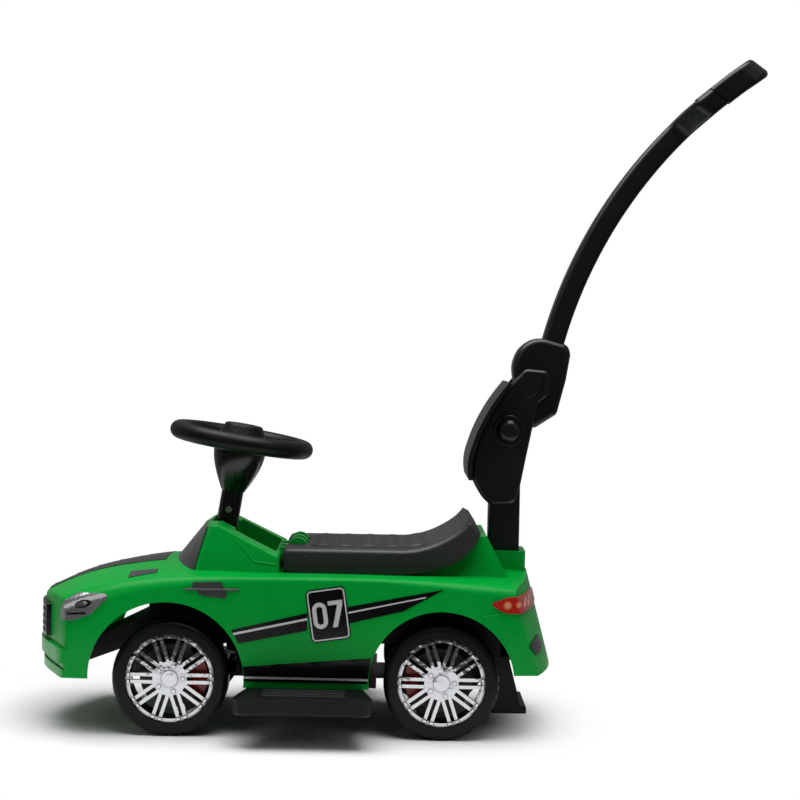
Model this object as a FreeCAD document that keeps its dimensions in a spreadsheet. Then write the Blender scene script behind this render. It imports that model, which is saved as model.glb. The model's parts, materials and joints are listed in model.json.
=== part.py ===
import FreeCAD, Part
import math
import os
import re
import Sketcher

# Push car with a tilting push handle. Lengths in mm, angles in degrees.
# The frame stands on the floor midway between the axles: X runs to the rear, Z up,
# and -Y is the car's left side.

V = FreeCAD.Vector

SIZES = {
    # whole car
    "wheelbase": 339, "deck_height": 203, "body_half_width": 142, "front_overhang": 182,
    "rear_overhang": 144, "sill_height": 62, "shell_wall": 3.5,
    # clearances
    "fit_gap": 0.3, "skin_gap": 0.05, "run_gap": 0.08, "swing_gap": 1.5, "overrun": 12,
    # nose and tail of the body
    "nose_half": 112, "nose_sweep": 34, "nose_corner": 56, "nose_step": 5.5, "nose_round": 9,
    "bumper_top": 108, "bumper_bottom": 90, "splitter_top": 82, "bumper_foot": 71, "slot_depth": 6,
    "splitter_step": 3.5, "tail_half": 122, "tail_sweep": 20, "tail_corner": 40,
    "tail_lean": 15, "tail_skirt": 84, "tail_skirt_x": 215, "front_arch_radius": 97, "front_arch_shift": 5,
    "rear_arch_radius": 91, "arch_depth": 62,
    # cowl and dash tray
    "cowl_foot_x": 191, "cowl_foot_sweep": 44, "cowl_foot_half": 109, "cowl_foot": 190,
    "cowl_top_x": 133, "cowl_top_sweep": 8, "cowl_top_half": 92, "cowl_height": 262,
    "cowl_back_x": 37, "dash_break_x": 114, "dash_lip": 224, "cowl_round": 6, "tray_front_x": 97,
    "tray_half": 70, "tray_floor": 208, "tray_wall": 6, "shelf_front_x": 128, "shelf_half": 44,
    "shelf_height": 240,
    # rear fin, collar and screw bosses
    "fin_half": 92, "fin_thick": 9, "fin_height": 251, "collar_wall": 8,
    "collar_height": 228, "boss_radius": 7, "boss_x": 58, "boss_y": 88,
    # trims on the body skin
    "lamp_proud": 2.2, "trim_proud": 1.2, "trim_gap": 0.2, "grille_half": 74, "grille_low": 114,
    "grille_high": 155, "grille_proud": 4, "grille_slot": 4.5,
    # storage tub
    "tub_front_x": 6, "tub_back_x": 150, "tub_half": 80, "tub_floor": 112, "tub_wall": 2.5,
    "tub_flange": 5, "tub_flange_thick": 2,
    # seat and its hinge
    "seat_front_x": 34, "seat_half": 98, "seat_top": 234, "seat_bend_x": 118,
    "seat_back_x": 217, "seat_back_height": 256, "seat_crest_x": 201, "seat_crest": 273,
    "seat_round": 7, "seat_wall": 4, "seat_nose_round": 8, "hinge_x": 17,
    "hinge_height": 229, "roll_radius": 12.5, "roll_half": 40, "roll_eye": 5,
    "roll_eye_depth": 6, "hinge_pin_radius": 3, "knuckle_radius": 10, "knuckle_start": 9,
    "knuckle_end": 27, "quilt_pitch": 30, "quilt_width": 2.6, "quilt_depth": 1.4,
    "quilt_half": 70, "quilt_front_x": 0, "quilt_back_x": 122, "quilt_corner": 18,
    # under pan
    "floor_top": 66, "floor_thick": 4, "keel_half": 48, "keel_front_x": 240,
    "keel_back_x": 214, "floor_half": 118, "floor_front_x": 74, "floor_back_x": 88,
    "tower_front_x": 207, "tower_back_x": 89, "tower_top": 180, "tower_wall": 4,
    "tower_window": 104, "strut_low": 76, "strut_high": 100, "strut_x": 292,
    "strut_root_low": 108, "strut_root_high": 142, "rear_floor": 98, "rear_floor_back_x": 284,
    "rear_floor_half": 78, "well_back_x": 246, "well_top": 186, "carrier_half": 15, "carrier_start": 34,
    "socket_wall": 5, "socket_top": 165,
    # wheels
    "wheel_radius": 72.5, "tyre_width": 44, "wheel_face": 134, "tyre_wall": 17,
    "tyre_shoulder": 8, "tread_depth": 1.6, "tread_reach": 9, "tread_gap": 3.2, "tread_count": 40,
    "rim_wall": 4.5, "rim_depth": 38, "rim_lip": 5, "rim_lip_thick": 6, "rim_inset": 2.5,
    "spoke_width": 4.4, "spoke_split": 9, "spoke_thick": 7, "spoke_count": 10,
    "spoke_inset": 1.5, "web_radius": 21.5, "hub_radius": 14, "hub_end": 33, "cap_radius": 10,
    "cap_thick": 1.5, "lug_radius": 2.6, "lug_circle": 16.5, "lug_proud": 1.4, "lug_count": 5,
    "axle_radius": 4, "axle_tip": 9, "disc_radius": 40, "disc_thick": 3, "disc_place": 23,
    "caliper_low": 27, "caliper_radius": 46, "caliper_band": 4, "caliper_face": 16,
    "caliper_lip": 5, "caliper_sweep": 62,
    # front axle and steering linkage
    "kingpin_y": 72, "kingpin_radius": 4, "kingpin_head": 6.5, "kingpin_head_thick": 3,
    "barrel_radius": 9, "barrel_half": 10.2, "ear_thick": 5,
    "beam_half": 11, "beam_reach": 58, "beam_cheek": 6, "beam_top": 14,
    "stub_radius": 8.5, "arm_length": 32, "arm_half": 6.5, "arm_thick": 5.5,
    "arm_pin_radius": 3.5, "tie_lift": 1, "tie_thick": 6, "tie_half": 7, "tie_hole_slack": 1,
    "tie_slot_slack": 1.8, "tie_tab_half": 11, "bracket_half": 12, "bracket_thick": 5,
    # steering column and wheel
    "column_x": 113, "column_foot": 250, "column_rake": 9, "column_radius": 14.2,
    "column_length": 46, "column_boss": 14.5, "column_boss_depth": 30, "bush_flange": 2,
    "bush_radius": 9, "bush_length": 14, "shaft_radius": 5, "shaft_top": 108, "crank_thick": 7,
    "crank_half": 8.5, "crank_pin_radius": 4, "bell_length": 54, "bell_radius": 34,
    "bell_wall": 3, "rim_rise": 117, "rim_circle": 83, "rim_tube": 11.5, "hub_disc_radius": 37,
    "hub_disc_high": 119, "spoke_half": 15, "spoke_low": 108,
    "spoke_high": 118, "rear_spoke_half": 22, "horn_radius": 31, "horn_seat": 5,
    "horn_top": 137, "horn_travel": 2.5, "horn_neck": 24, "trim_length": 30, "trim_half": 8,
    "trim_thick": 2.5, "screw_head": 4.3, "screw_head_thick": 2, "screw_shank": 2,
    "screw_length": 12, "column_screw_rise": 24,
    # footrests and rear stop
    "footrest_front_x": 89, "footrest_back_x": 87, "footrest_out": 205, "footrest_in": 94,
    "footrest_thick": 20, "footrest_taper": 22, "footrest_round": 14, "footrest_edge": 4,
    "foot_screw_x": 45, "foot_screw_y": 104, "foot_screw_sink": 8, "tread_in": 136, "tread_inset": 9,
    "tread_rise": 1, "stop_half": 54, "stop_foot": 20,
    "stop_foot_thick": 9, "stop_front_x": 230, "stop_back_x": 258, "stop_lean": 15,
    "stop_flange": 7,
    # handle post, backrest and hinge
    "post_x": 251, "post_depth": 40, "post_half": 24, "post_foot": 122, "post_top": 345,
    "post_round": 6, "post_wall": 4.5, "pivot_x": 253, "pivot_height": 385, "pivot_radius": 5,
    "cheek_thick": 14, "housing_x": 202, "housing_foot": 287, "housing_depth": 100,
    "housing_height": 181, "housing_edge": 5, "panel_thick": 6.5, "panel_half": 68,
    "panel_foot": 322, "panel_top": 448, "lid_gap": 2, "bezel_radius": 20, "bezel_proud": 2.5,
    "button_radius": 15, "button_proud": 12, "button_depth": 6, "button_travel": 4.5,
    "button_dome": 9, "yoke_foot": 388, "yoke_height": 118, "yoke_x": 258, "yoke_depth": 75,
    "lug_round": 15, "yoke_edge": 7.5,
    # push bar and grip
    "bar_x": 311, "bar_height": 501, "bar_lean": 14.7, "bar_bend_radius": 620, "bar_sweep": 41.5,
    "bar_thick": 28, "bar_half": 19, "bar_root": 34, "bar_edge": 6, "loop_start": 318,
    "loop_full": 350, "loop_half": 64, "loop_arm": 20, "loop_gap_start": 352, "grip_start": 376,
    "grip_band": 31, "grip_round": 26, "grip_swell": 1.5,
}

doc = FreeCAD.newDocument("push_car")
sizes = doc.addObject("Spreadsheet::Sheet", "sizes")
for row, (alias, number) in enumerate(SIZES.items(), 1):
    sizes.set(f"A{row}", alias)
    sizes.set(f"B{row}", str(number))
    sizes.setAlias(f"B{row}", alias)
doc.recompute()

FRONT = "(-wheelbase / 2)"
REAR = "(wheelbase / 2)"
NOSE = "(-wheelbase / 2 - front_overhang)"
TAIL = "(wheelbase / 2 + rear_overhang)"
HUB_STOP = "(hub_end + swing_gap)"
STUB_END = f"(wheel_face - {HUB_STOP})"
pieces = []


def bound(text):
    """An expression over size names, written for binding to the sheet."""
    return re.sub(r"[a-z_]+", lambda word: f"sizes.{word[0]}" if word[0] in SIZES else word[0], text)


def mm(text):
    """The number an expression over size names gives."""
    return float(sizes.evalExpression(bound(text)))


def at(x, y, z):
    """The point with the given coordinate expressions."""
    return V(mm(x), mm(y), mm(z))


TURNS = {
    "X": FreeCAD.Rotation(V(0, 1, 0), 90),
    "Y": FreeCAD.Rotation(V(1, 0, 0), -90),
    "Z": FreeCAD.Rotation(),
}


def placed(item, x, y, z, turn):
    """Binds an item's place to the sheet."""
    item.Placement = FreeCAD.Placement(V(), turn)
    for axis, text in zip("xyz", (x, y, z)):
        item.setExpression("Placement.Base." + axis, bound(text))
    return item


def block(x0, x1, y0, y1, z0, z1):
    """A box between two faces on each axis."""
    item = doc.addObject("Part::Box", "block")
    for side, low, high in (("Length", x0, x1), ("Width", y0, y1), ("Height", z0, z1)):
        item.setExpression(side, bound(f"({high}) - ({low})"))
    return placed(item, x0, y0, z0, TURNS["Z"])


def rod(axis, radius, start, end, u, v):
    """A round bar along an axis from start to end; u and v place it on the other two axes."""
    item = doc.addObject("Part::Cylinder", "rod")
    item.setExpression("Radius", bound(radius))
    item.setExpression("Height", bound(f"({end}) - ({start})"))
    spots = {"X": (start, u, v), "Y": (u, start, v), "Z": (u, v, start)}
    return placed(item, *spots[axis], TURNS[axis])


def fuse(*items):
    """The union of several items."""
    item = doc.addObject("Part::MultiFuse", "fuse")
    item.Shapes = list(items)
    item.Refine = True
    return item


def cut(base, *tools):
    """A base with the tools taken away."""
    item = doc.addObject("Part::Cut", "cut")
    item.Base = base
    item.Tool = tools[0] if len(tools) == 1 else fuse(*tools)
    return item


def solid(shape):
    """A document item holding a shape worked out in code."""
    item = doc.addObject("Part::Feature", "solid")
    item.Shape = shape
    return item


def group(*items):
    """Several alike separate solids as one item."""
    item = doc.addObject("Part::Compound", "group")
    item.Links = list(items)
    return item


def done(label, item):
    """Names a finished sub-part."""
    item.Label = label
    pieces.append(item)
    return item


def copied(label, source, placement):
    """A further sub-part of the same shape at another place."""
    item = doc.addObject("Part::Feature", "copy")
    item.Shape = Part.Shape(source.Shape)
    item.Placement = placement
    return done(label, item)


def body_with(name):
    """A new body and its origin planes and axes by role."""
    item = doc.addObject("PartDesign::Body", name)
    return item, {feature.Role: feature for feature in item.Origin.OriginFeatures}


def sketch_on(body, plane, loops):
    """A sketch of closed outlines whose corners are bound to size expressions."""
    sketch = body.newObject("Sketcher::SketchObject", "outline")
    sketch.AttachmentSupport = [(plane, "")]
    sketch.MapMode = "FlatFace"
    for corners in loops:
        spots = [V(mm(x), mm(y), 0) for x, y in corners]
        first = sketch.GeometryCount
        count = len(spots)
        for i in range(count):
            sketch.addGeometry(Part.LineSegment(spots[i], spots[(i + 1) % count]), False)
        for i in range(count):
            after = first + (i + 1) % count
            sketch.addConstraint(Sketcher.Constraint("Coincident", first + i, 2, after, 1))
        for i, pair in enumerate(corners):
            for kind, text, spot in zip(("DistanceX", "DistanceY"), pair, spots[i]):
                made = sketch.addConstraint(Sketcher.Constraint(kind, -1, 1, first + i, 1, spot))
                sketch.setExpression(f"Constraints[{made}]", bound(text))
    doc.recompute()
    return sketch


def feature(body, kind, sketch, **settings):
    """A sketch-based feature; text settings are bound to the sheet."""
    item = body.newObject("PartDesign::" + kind, kind.lower())
    item.Profile = sketch
    for name, setting in settings.items():
        if isinstance(setting, str) and name in ("Length", "Angle", "Length2"):
            item.setExpression(name, bound(setting))
        else:
            setattr(item, name, setting)
    doc.recompute()
    return item


def polar(body, original, axis, count):
    """A full ring of a feature about an axis."""
    item = body.newObject("PartDesign::PolarPattern", "ring")
    item.Originals = [original]
    item.Axis = (axis, [""])
    item.Angle = 360
    item.setExpression("Occurrences", bound(count))
    body.Tip = item
    doc.recompute()
    return item


def rounded(body, base, radius, wanted):
    """Rounds the edges of a body that a test picks."""
    names = [f"Edge{i}" for i, edge in enumerate(base.Shape.Edges, 1) if wanted(edge)]
    item = body.newObject("PartDesign::Fillet", "round")
    item.Base = (base, names)
    item.setExpression("Radius", bound(radius))
    body.Tip = item
    doc.recompute()
    return item


def near(a, b):
    """Whether two lengths agree to within the skin gap."""
    return abs(a - b) < mm("skin_gap")


def round_wire(corners):
    """A closed wire through (point, radius) corners, each rounded by its own radius."""
    ends = []
    for i, (spot, radius) in enumerate(corners):
        before = (corners[i - 1][0] - spot).normalize()
        after = (corners[(i + 1) % len(corners)][0] - spot).normalize()
        if radius == 0:
            ends.append((spot, None, spot))
            continue
        half = before.getAngle(after) / 2
        middle = (before + after).normalize()
        reach = radius / math.tan(half)
        crown = spot + middle * (radius / math.sin(half) - radius)
        ends.append((spot + before * reach, crown, spot + after * reach))
    edges = []
    for i, (start, crown, end) in enumerate(ends):
        following = ends[(i + 1) % len(ends)][0]
        if crown:
            edges.append(Part.Arc(start, crown, end).toShape())
        if end.distanceToPoint(following) > mm("skin_gap"):
            edges.append(Part.LineSegment(end, following).toShape())
    return Part.Wire(edges)


def prism(wire, run):
    """A solid swept straight from a closed flat wire."""
    return Part.Face(wire).extrude(run)


def side_prism(corners, y0, y1):
    """A solid from a side outline of (x, z, radius) numbers between two Y faces."""
    wire = round_wire([(V(x, y0, z), radius) for x, z, radius in corners])
    return prism(wire, V(0, y1 - y0, 0))


def box_shape(x0, x1, y0, y1, z0, z1):
    """A plain box shape between faces."""
    return Part.makeBox(x1 - x0, y1 - y0, z1 - z0, V(x0, y0, z0))


def mirrored(shape):
    """The same shape on the car's other side."""
    return shape.mirror(V(0, 0, 0), V(0, 1, 0))


def shared_points(shares, x, depth, z, height):
    """Side outline corners given as shares of a depth and a height."""
    return [(x + a * depth, z + b * height, c * depth) for a, b, c in shares]


def rounded_shape(shape, radius, wanted):
    """Rounds the edges of a plain shape that a test picks."""
    return shape.makeFillet(radius, [edge for edge in shape.Edges if wanted(edge)])


# Lower body: cross-sections along X as shares of the length, width and deck height.
# Each row: place, half width, shoulder height, crown height, shoulder rounding.
HULL_SHARES = (
    (-0.030, 0.900, 0.725, 0.770, 0.16),
    (0.032, 0.945, 0.800, 0.850, 0.17),
    (0.100, 0.985, 0.888, 0.946, 0.17),
    (0.184, 1.000, 0.955, 1.012, 0.15),
    (0.273, 1.000, 0.988, 1.048, 0.11),
    (0.360, 0.985, 0.996, 1.035, 0.07),
    (0.483, 0.966, 0.996, 1.012, 0.045),
    (0.649, 0.966, 0.996, 1.000, 0.045),
    (0.784, 1.000, 0.985, 1.003, 0.08),
    (0.874, 1.000, 0.968, 1.012, 0.10),
    (0.950, 0.965, 0.945, 1.000, 0.12),
    (1.040, 0.900, 0.915, 0.975, 0.13),
)
SILL_SHARE = 0.935
BELLY_SHARES = (0.62, 1.012)


def hull_section(shares, out):
    """One closed cross-section of the lower body, moved outward by a distance."""
    along, wide, high, crown, bend = shares
    x = mm(NOSE) + along * (mm(TAIL) - mm(NOSE))
    half = wide * mm("body_half_width") + out
    top = high * mm("deck_height") + out
    bend = bend * mm("body_half_width") + out / 2
    foot = mm("sill_height") - (mm("overrun") if out else 0)
    sill = SILL_SHARE * (half - out) + out
    belly_z = foot + BELLY_SHARES[0] * (top - bend - foot)
    ease = bend * (1 - math.sqrt(0.5))
    right = [
        V(x, sill, foot), V(x, BELLY_SHARES[1] * (half - out) + out, belly_z), V(x, half, top - bend),
        V(x, half - ease, top - ease), V(x, half - bend, top),
    ]
    left = [V(p.x, -p.y, p.z) for p in right]
    peak = V(x, 0, crown * mm("deck_height") + out)
    return Part.Wire([
        Part.LineSegment(left[0], right[0]).toShape(),
        Part.Arc(right[0], right[1], right[2]).toShape(),
        Part.Arc(right[2], right[3], right[4]).toShape(),
        Part.Arc(right[4], peak, left[4]).toShape(),
        Part.Arc(left[4], left[3], left[2]).toShape(),
        Part.Arc(left[2], left[1], left[0]).toShape(),
    ])


CORNER_SHARES = (0.3, 0.72)


def plan_wire(tip, sweep, corner, half, far, out, z):
    """A plan outline with a bowed end at tip and square at far; its sign gives the end."""
    way = 1 if far > tip else -1
    wide = mm("body_half_width") + mm("overrun")
    tip = tip - way * out
    shoulder = tip + way * sweep
    side = shoulder + way * corner
    half = half + out
    mid_x = shoulder + CORNER_SHARES[0] * (side - shoulder)
    mid_y = half + CORNER_SHARES[1] * (wide - half)
    half_bow = [V(side, wide, z), V(mid_x, mid_y, z), V(shoulder, half, z)]
    bow = Part.BSplineCurve()
    bow.interpolate(half_bow + [V(tip, 0, z)] + [V(p.x, -p.y, z) for p in reversed(half_bow)])
    return Part.Wire([
        bow.toShape(),
        Part.LineSegment(V(side, -wide, z), V(far, -wide, z)).toShape(),
        Part.LineSegment(V(far, -wide, z), V(far, wide, z)).toShape(),
        Part.LineSegment(V(far, wide, z), V(side, wide, z)).toShape(),
    ])


def nose_slab(step, low, high, out):
    """The plan of the nose, set back by a step, between two heights."""
    wire = plan_wire(mm(NOSE) + step, mm("nose_sweep"), mm("nose_corner"), mm("nose_half"),
                     mm(TAIL) + mm("rear_overhang"), out, low)
    return prism(wire, V(0, 0, high - low))


def tail_slab(out):
    """The leaning plan of the tail."""
    low = mm("sill_height - 2 * overrun")
    rise = mm("deck_height + 4 * overrun") - low
    lean = math.tan(math.radians(mm("tail_lean")))
    tip = mm(TAIL) + lean * (mm("tail_skirt") - low)
    wire = plan_wire(tip, mm("tail_sweep"), mm("tail_corner"), mm("tail_half"),
                     mm(NOSE) - mm("front_overhang"), out, low)
    return prism(wire, V(-lean * rise, 0, rise))


def hull_loft(out):
    """The long lofted form of the lower body before its ends are trimmed."""
    return Part.makeLoft([hull_section(row, out) for row in HULL_SHARES], True, False)


def hull(out):
    """The lower body, moved outward by a distance, with the plain upper nose."""
    top = mm("cowl_height")
    nose = nose_slab(mm("nose_step"), mm("sill_height - 2 * overrun"), top, out)
    return hull_loft(out).common(nose).common(tail_slab(out))


def hull_outside():
    """The lower body with its stepped bumper, before hollowing."""
    low = mm("sill_height - 2 * overrun")
    top = mm("cowl_height")
    form = hull_loft(0).common(nose_slab(0, low, top, 0)).common(tail_slab(0))
    steps = (
        (mm("nose_step"), mm("bumper_top"), top),
        (mm("slot_depth"), mm("splitter_top"), mm("bumper_bottom")),
        (mm("splitter_step"), low, mm("splitter_top")),
    )
    bite = mm("overrun")
    rings = [nose_slab(-bite, foot, head, 0).cut(nose_slab(step, foot, head, 0))
             for step, foot, head in steps]
    wide = mm("body_half_width") + bite
    under = box_shape(mm(NOSE) - bite, mm(FRONT), -wide, wide, low, mm("bumper_foot"))
    form = form.cut(Part.makeCompound(rings)).cut(under)
    start = mm(FRONT) - mm("front_arch_radius")
    return rounded_shape(form, mm("nose_round"), lambda edge: edge.CenterOfMass.x < start
                         and edge.CenterOfMass.z > mm("grille_low"))


def cowl_wire(x, sweep, half, z, out):
    """A plan outline of the cowl at one height."""
    front = -x - out
    shoulder = front + sweep
    half = half + out
    back = -mm("cowl_back_x")
    return Part.Wire([
        Part.Arc(V(shoulder, -half, z), V(front, 0, z), V(shoulder, half, z)).toShape(),
        Part.LineSegment(V(shoulder, half, z), V(back, half, z)).toShape(),
        Part.LineSegment(V(back, half, z), V(back, -half, z)).toShape(),
        Part.LineSegment(V(back, -half, z), V(shoulder, -half, z)).toShape(),
    ])


def cowl(out):
    """The raised cowl with the windscreen slope and the falling dash sides."""
    foot = cowl_wire(mm("cowl_foot_x"), mm("cowl_foot_sweep"), mm("cowl_foot_half"),
                     mm("cowl_foot"), out)
    head = cowl_wire(mm("cowl_top_x"), mm("cowl_top_sweep"), mm("cowl_top_half"),
                     mm("cowl_height") + out, out)
    form = Part.makeLoft([foot, head], True, True)
    above = mm("cowl_height + 3 * overrun")
    wide = mm("body_half_width")
    falling = side_prism([
        (mm("-dash_break_x"), mm("cowl_height") + out, 0), (mm("-dash_break_x"), above, 0),
        (mm("overrun"), above, 0), (mm("overrun"), mm("dash_lip") + out, 0),
        (mm("-cowl_back_x"), mm("dash_lip") + out, 0),
    ], -wide, wide)
    foot_z = mm("cowl_foot + skin_gap")
    return rounded_shape(form.cut(falling), mm("cowl_round") + out,
                         lambda edge: edge.CenterOfMass.z > foot_z)


SEAT_CURVE_SHARES = ((0.0, 0.0), (0.363, 0.090), (0.539, 0.185), (0.725, 0.355), (0.902, 0.672), (1.0, 1.0))
SEAT_TOP_SHARES = ((0.0, 0.0), (0.235, 0.055), (0.469, 0.200), (0.716, 0.460), (0.926, 0.800), (1.0, 1.0))


def curve(shares, start, end):
    """A smooth side curve through shares of the run and rise between two points."""
    run = end - start
    spots = [V(start.x + a * run.x, start.y, start.z + b * run.z) for a, b in shares]
    line = Part.BSplineCurve()
    line.interpolate(spots)
    return line.toShape()


def seat_curve(drop, y):
    """The curve on which the seat's underside lies, lowered by a gap."""
    start = V(mm("seat_bend_x"), y, mm("deck_height") - drop)
    end = V(mm("seat_back_x"), y, mm("seat_back_height") - drop)
    return curve(SEAT_CURVE_SHARES, start, end), start, end


def rear_fin():
    """The rising wall under the seat's upturned back, with the post collar behind it."""
    half = mm("fin_half")
    line, start, end = seat_curve(0, -half)
    foot = mm("deck_height - 2 * overrun")
    top = mm("fin_height")
    back = mm("seat_back_x + fin_thick")
    rest = [end, V(end.x, -half, top), V(back, -half, top), V(mm("post_x"), -half, mm("deck_height")),
            V(mm("post_x"), -half, foot), V(start.x, -half, foot), start]
    edges = [line] + [Part.LineSegment(a, b).toShape() for a, b in zip(rest, rest[1:])]
    fin = prism(Part.Wire(edges), V(0, 2 * half, 0))
    fin = fin.common(side_block_taper(fin.BoundBox, half, mm("fin_thick") * 2))
    deep = mm("post_depth / 2 + collar_wall")
    wide = mm("post_half + collar_wall")
    collar = box_shape(mm("post_x") - deep, mm("post_x") + deep, -wide, wide, foot, mm("collar_height"))
    collar = rounded_shape(collar, mm("collar_wall"), lambda edge: near(abs(edge.tangentAt(0).z), 1))
    return fin.fuse(collar)


def side_block_taper(bounds, half, lean):
    """A trapezium prism along X whose sides lean in by a given amount at the top."""
    low = bounds.ZMin
    high = bounds.ZMax
    corners = [V(bounds.XMin, -half, low), V(bounds.XMin, half, low),
               V(bounds.XMin, half - lean, high), V(bounds.XMin, lean - half, high)]
    wire = Part.makePolygon(corners + corners[:1])
    return prism(wire, V(bounds.XLength, 0, 0))


def column_frame():
    """The steering column's own frame: foot on the dash, axis raked to the rear."""
    spot = at("-column_x", "0", "column_foot")
    return FreeCAD.Placement(spot, FreeCAD.Rotation(V(0, 1, 0), mm("column_rake")))


def in_column(shape):
    """A shape built about the column axis, moved onto the car."""
    moved = shape.copy()
    moved.Placement = column_frame().multiply(moved.Placement)
    return moved


def hinge_rolls(y0, y1):
    """One fixed barrel of the seat hinge on its foot block."""
    radius = mm("roll_radius")
    x = mm("-hinge_x")
    z = mm("hinge_height")
    roll = Part.makeCylinder(radius, y1 - y0, V(x, y0, z), V(0, 1, 0))
    foot = box_shape(mm("-cowl_back_x - shell_wall"), x + radius, y0, y1, mm("deck_height - shell_wall"), z)
    return roll.fuse(foot)


def make_body_shell():
    """The hollow outer shell, open underneath."""
    wide = mm("body_half_width") * 2
    outside = hull_outside().multiFuse([cowl(0), rear_fin()])
    flat = box_shape(mm("-cowl_back_x"), mm("seat_bend_x"), -wide, wide, mm("deck_height"),
                     mm("cowl_height"))
    outside = outside.cut(flat)
    inset = -mm("shell_wall")
    lean = cowl(inset).fuse(box_shape(
        mm("-cowl_foot_x + cowl_foot_sweep"), mm("-cowl_back_x - shell_wall"), mm("-cowl_top_half"),
        mm("cowl_top_half"), mm("cowl_foot - overrun"), mm("deck_height")).common(hull(inset)))
    back = cowl(inset).BoundBox
    keep = box_shape(back.XMin, mm("-cowl_back_x - shell_wall"), -wide, wide, back.ZMin, back.ZMax)
    inside = hull(inset).fuse(lean.common(keep))
    deck = box_shape(mm("-cowl_back_x - shell_wall"), mm("seat_bend_x"), -wide, wide,
                     mm("deck_height - shell_wall"), mm("cowl_height"))
    inside = inside.cut(deck)
    shell = outside.cut(inside)
    low = mm("tail_skirt")
    shell = shell.cut(box_shape(mm("tail_skirt_x"), mm(TAIL) * 2, -wide, wide, 0, low))
    tray_back = mm("-cowl_back_x - tray_wall")
    tray_front = mm("-tray_front_x")
    tray = box_shape(tray_front - mm("tray_wall"), mm("-cowl_back_x"), mm("-tray_half - tray_wall"),
                     mm("tray_half + tray_wall"), mm("tray_floor - tray_wall"),
                     mm("cowl_height")).common(cowl(0))
    rolls = [hinge_rolls(mm("-roll_half"), mm("-knuckle_end - fit_gap")),
             hinge_rolls(mm("-knuckle_start + fit_gap"), mm("knuckle_start - fit_gap")),
             hinge_rolls(mm("knuckle_end + fit_gap"), mm("roll_half"))]
    shelf = box_shape(mm("-shelf_front_x - tray_wall"), tray_front, mm("-tray_half - tray_wall"),
                      mm("tray_half + tray_wall"),
                      mm("shelf_height - tray_wall"), mm("cowl_height")).common(cowl(0))
    boss = in_column(Part.makeCylinder(mm("column_boss"), mm("column_boss_depth"),
                                       V(0, 0, mm("-column_boss_depth"))))
    posts = [Part.makeCylinder(mm("boss_radius"), mm("deck_height - shell_wall / 2 - floor_top - skin_gap"),
                               V(side_x, side_y, mm("floor_top + skin_gap")))
             for side_x in (mm("-boss_x"), mm("boss_x")) for side_y in (mm("-boss_y"), mm("boss_y"))]
    pocket = box_shape(tray_front, tray_back, mm("-tray_half"), mm("tray_half"), mm("tray_floor"),
                       mm("cowl_height"))
    well = box_shape(mm("-shelf_front_x"), tray_back, mm("-shelf_half"), mm("shelf_half"),
                     mm("shelf_height"), mm("cowl_height"))
    shell = shell.multiFuse([tray, shelf]).cut(pocket.fuse(well)).multiFuse([boss] + rolls + posts)
    tub_hole = box_shape(mm("tub_front_x"), mm("tub_back_x"), mm("-tub_half"), mm("tub_half"),
                         mm("deck_height - 2 * overrun"), mm("deck_height + 2 * overrun"))
    rebate = box_shape(mm("tub_front_x - tub_flange"), mm("tub_back_x"), mm("-tub_half - tub_flange"),
                       mm("tub_half + tub_flange"), mm("deck_height - tub_flange_thick"),
                       mm("deck_height + 2 * overrun"))
    rebate = rebate.cut(box_shape(mm("seat_bend_x"), mm(TAIL), -wide, wide, 0, mm("cowl_height")))
    gap = mm("fit_gap")
    deep = mm("post_depth / 2") + gap
    post_hole = box_shape(mm("post_x") - deep, mm("post_x") + deep, mm("-post_half") - gap,
                          mm("post_half") + gap,
                          mm("post_foot"), mm("fin_height + overrun"))
    bore = in_column(Part.makeCylinder(mm("bush_radius + skin_gap"), mm("column_boss_depth * 2"),
                                       V(0, 0, mm("-column_boss_depth - overrun"))))
    pin_hole = Part.makeCylinder(mm("hinge_pin_radius + run_gap"), 2 * mm("roll_half"),
                                 at("-hinge_x", "-roll_half", "hinge_height"), V(0, 1, 0))
    eyes = [Part.makeCylinder(mm("roll_eye"), mm("roll_eye_depth"),
                              V(mm("-hinge_x"), y, mm("hinge_height")), V(0, 1, 0))
            for y in (mm("-roll_half"), mm("roll_half - roll_eye_depth"))]
    pilots = [Part.makeCylinder(mm("screw_shank + skin_gap"), mm("screw_length"),
                                V(side_x, side_y, mm("floor_top")))
              for side_x in (mm("-boss_x"), mm("boss_x")) for side_y in (mm("-boss_y"), mm("boss_y"))]
    arches = []
    for x, radius in ((mm(f"{FRONT} - front_arch_shift"), mm("front_arch_radius")),
                      (mm(REAR), mm("rear_arch_radius"))):
        for y in (-wide, mm("arch_depth")):
            reach = wide - mm("arch_depth")
            arches.append(Part.makeCylinder(radius, reach, V(x, y, mm("wheel_radius")), V(0, 1, 0)))
    tools = [tub_hole, rebate, post_hole, bore, pin_hole] + eyes + pilots + arches
    return shell.cut(Part.makeCompound(tools))


done("body_shell", solid(make_body_shell()))


# Trims that lie on the body skin, cut from a thin layer over it.
bare_skin = hull(mm("trim_gap"))


def skin(proud):
    """A thin layer over the lower body."""
    return hull(proud).cut(bare_skin)


def both(label, shape):
    """A left trim and its mirror image on the right."""
    done(label + "_left", solid(shape))
    done(label + "_right", solid(mirrored(shape)))


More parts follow.
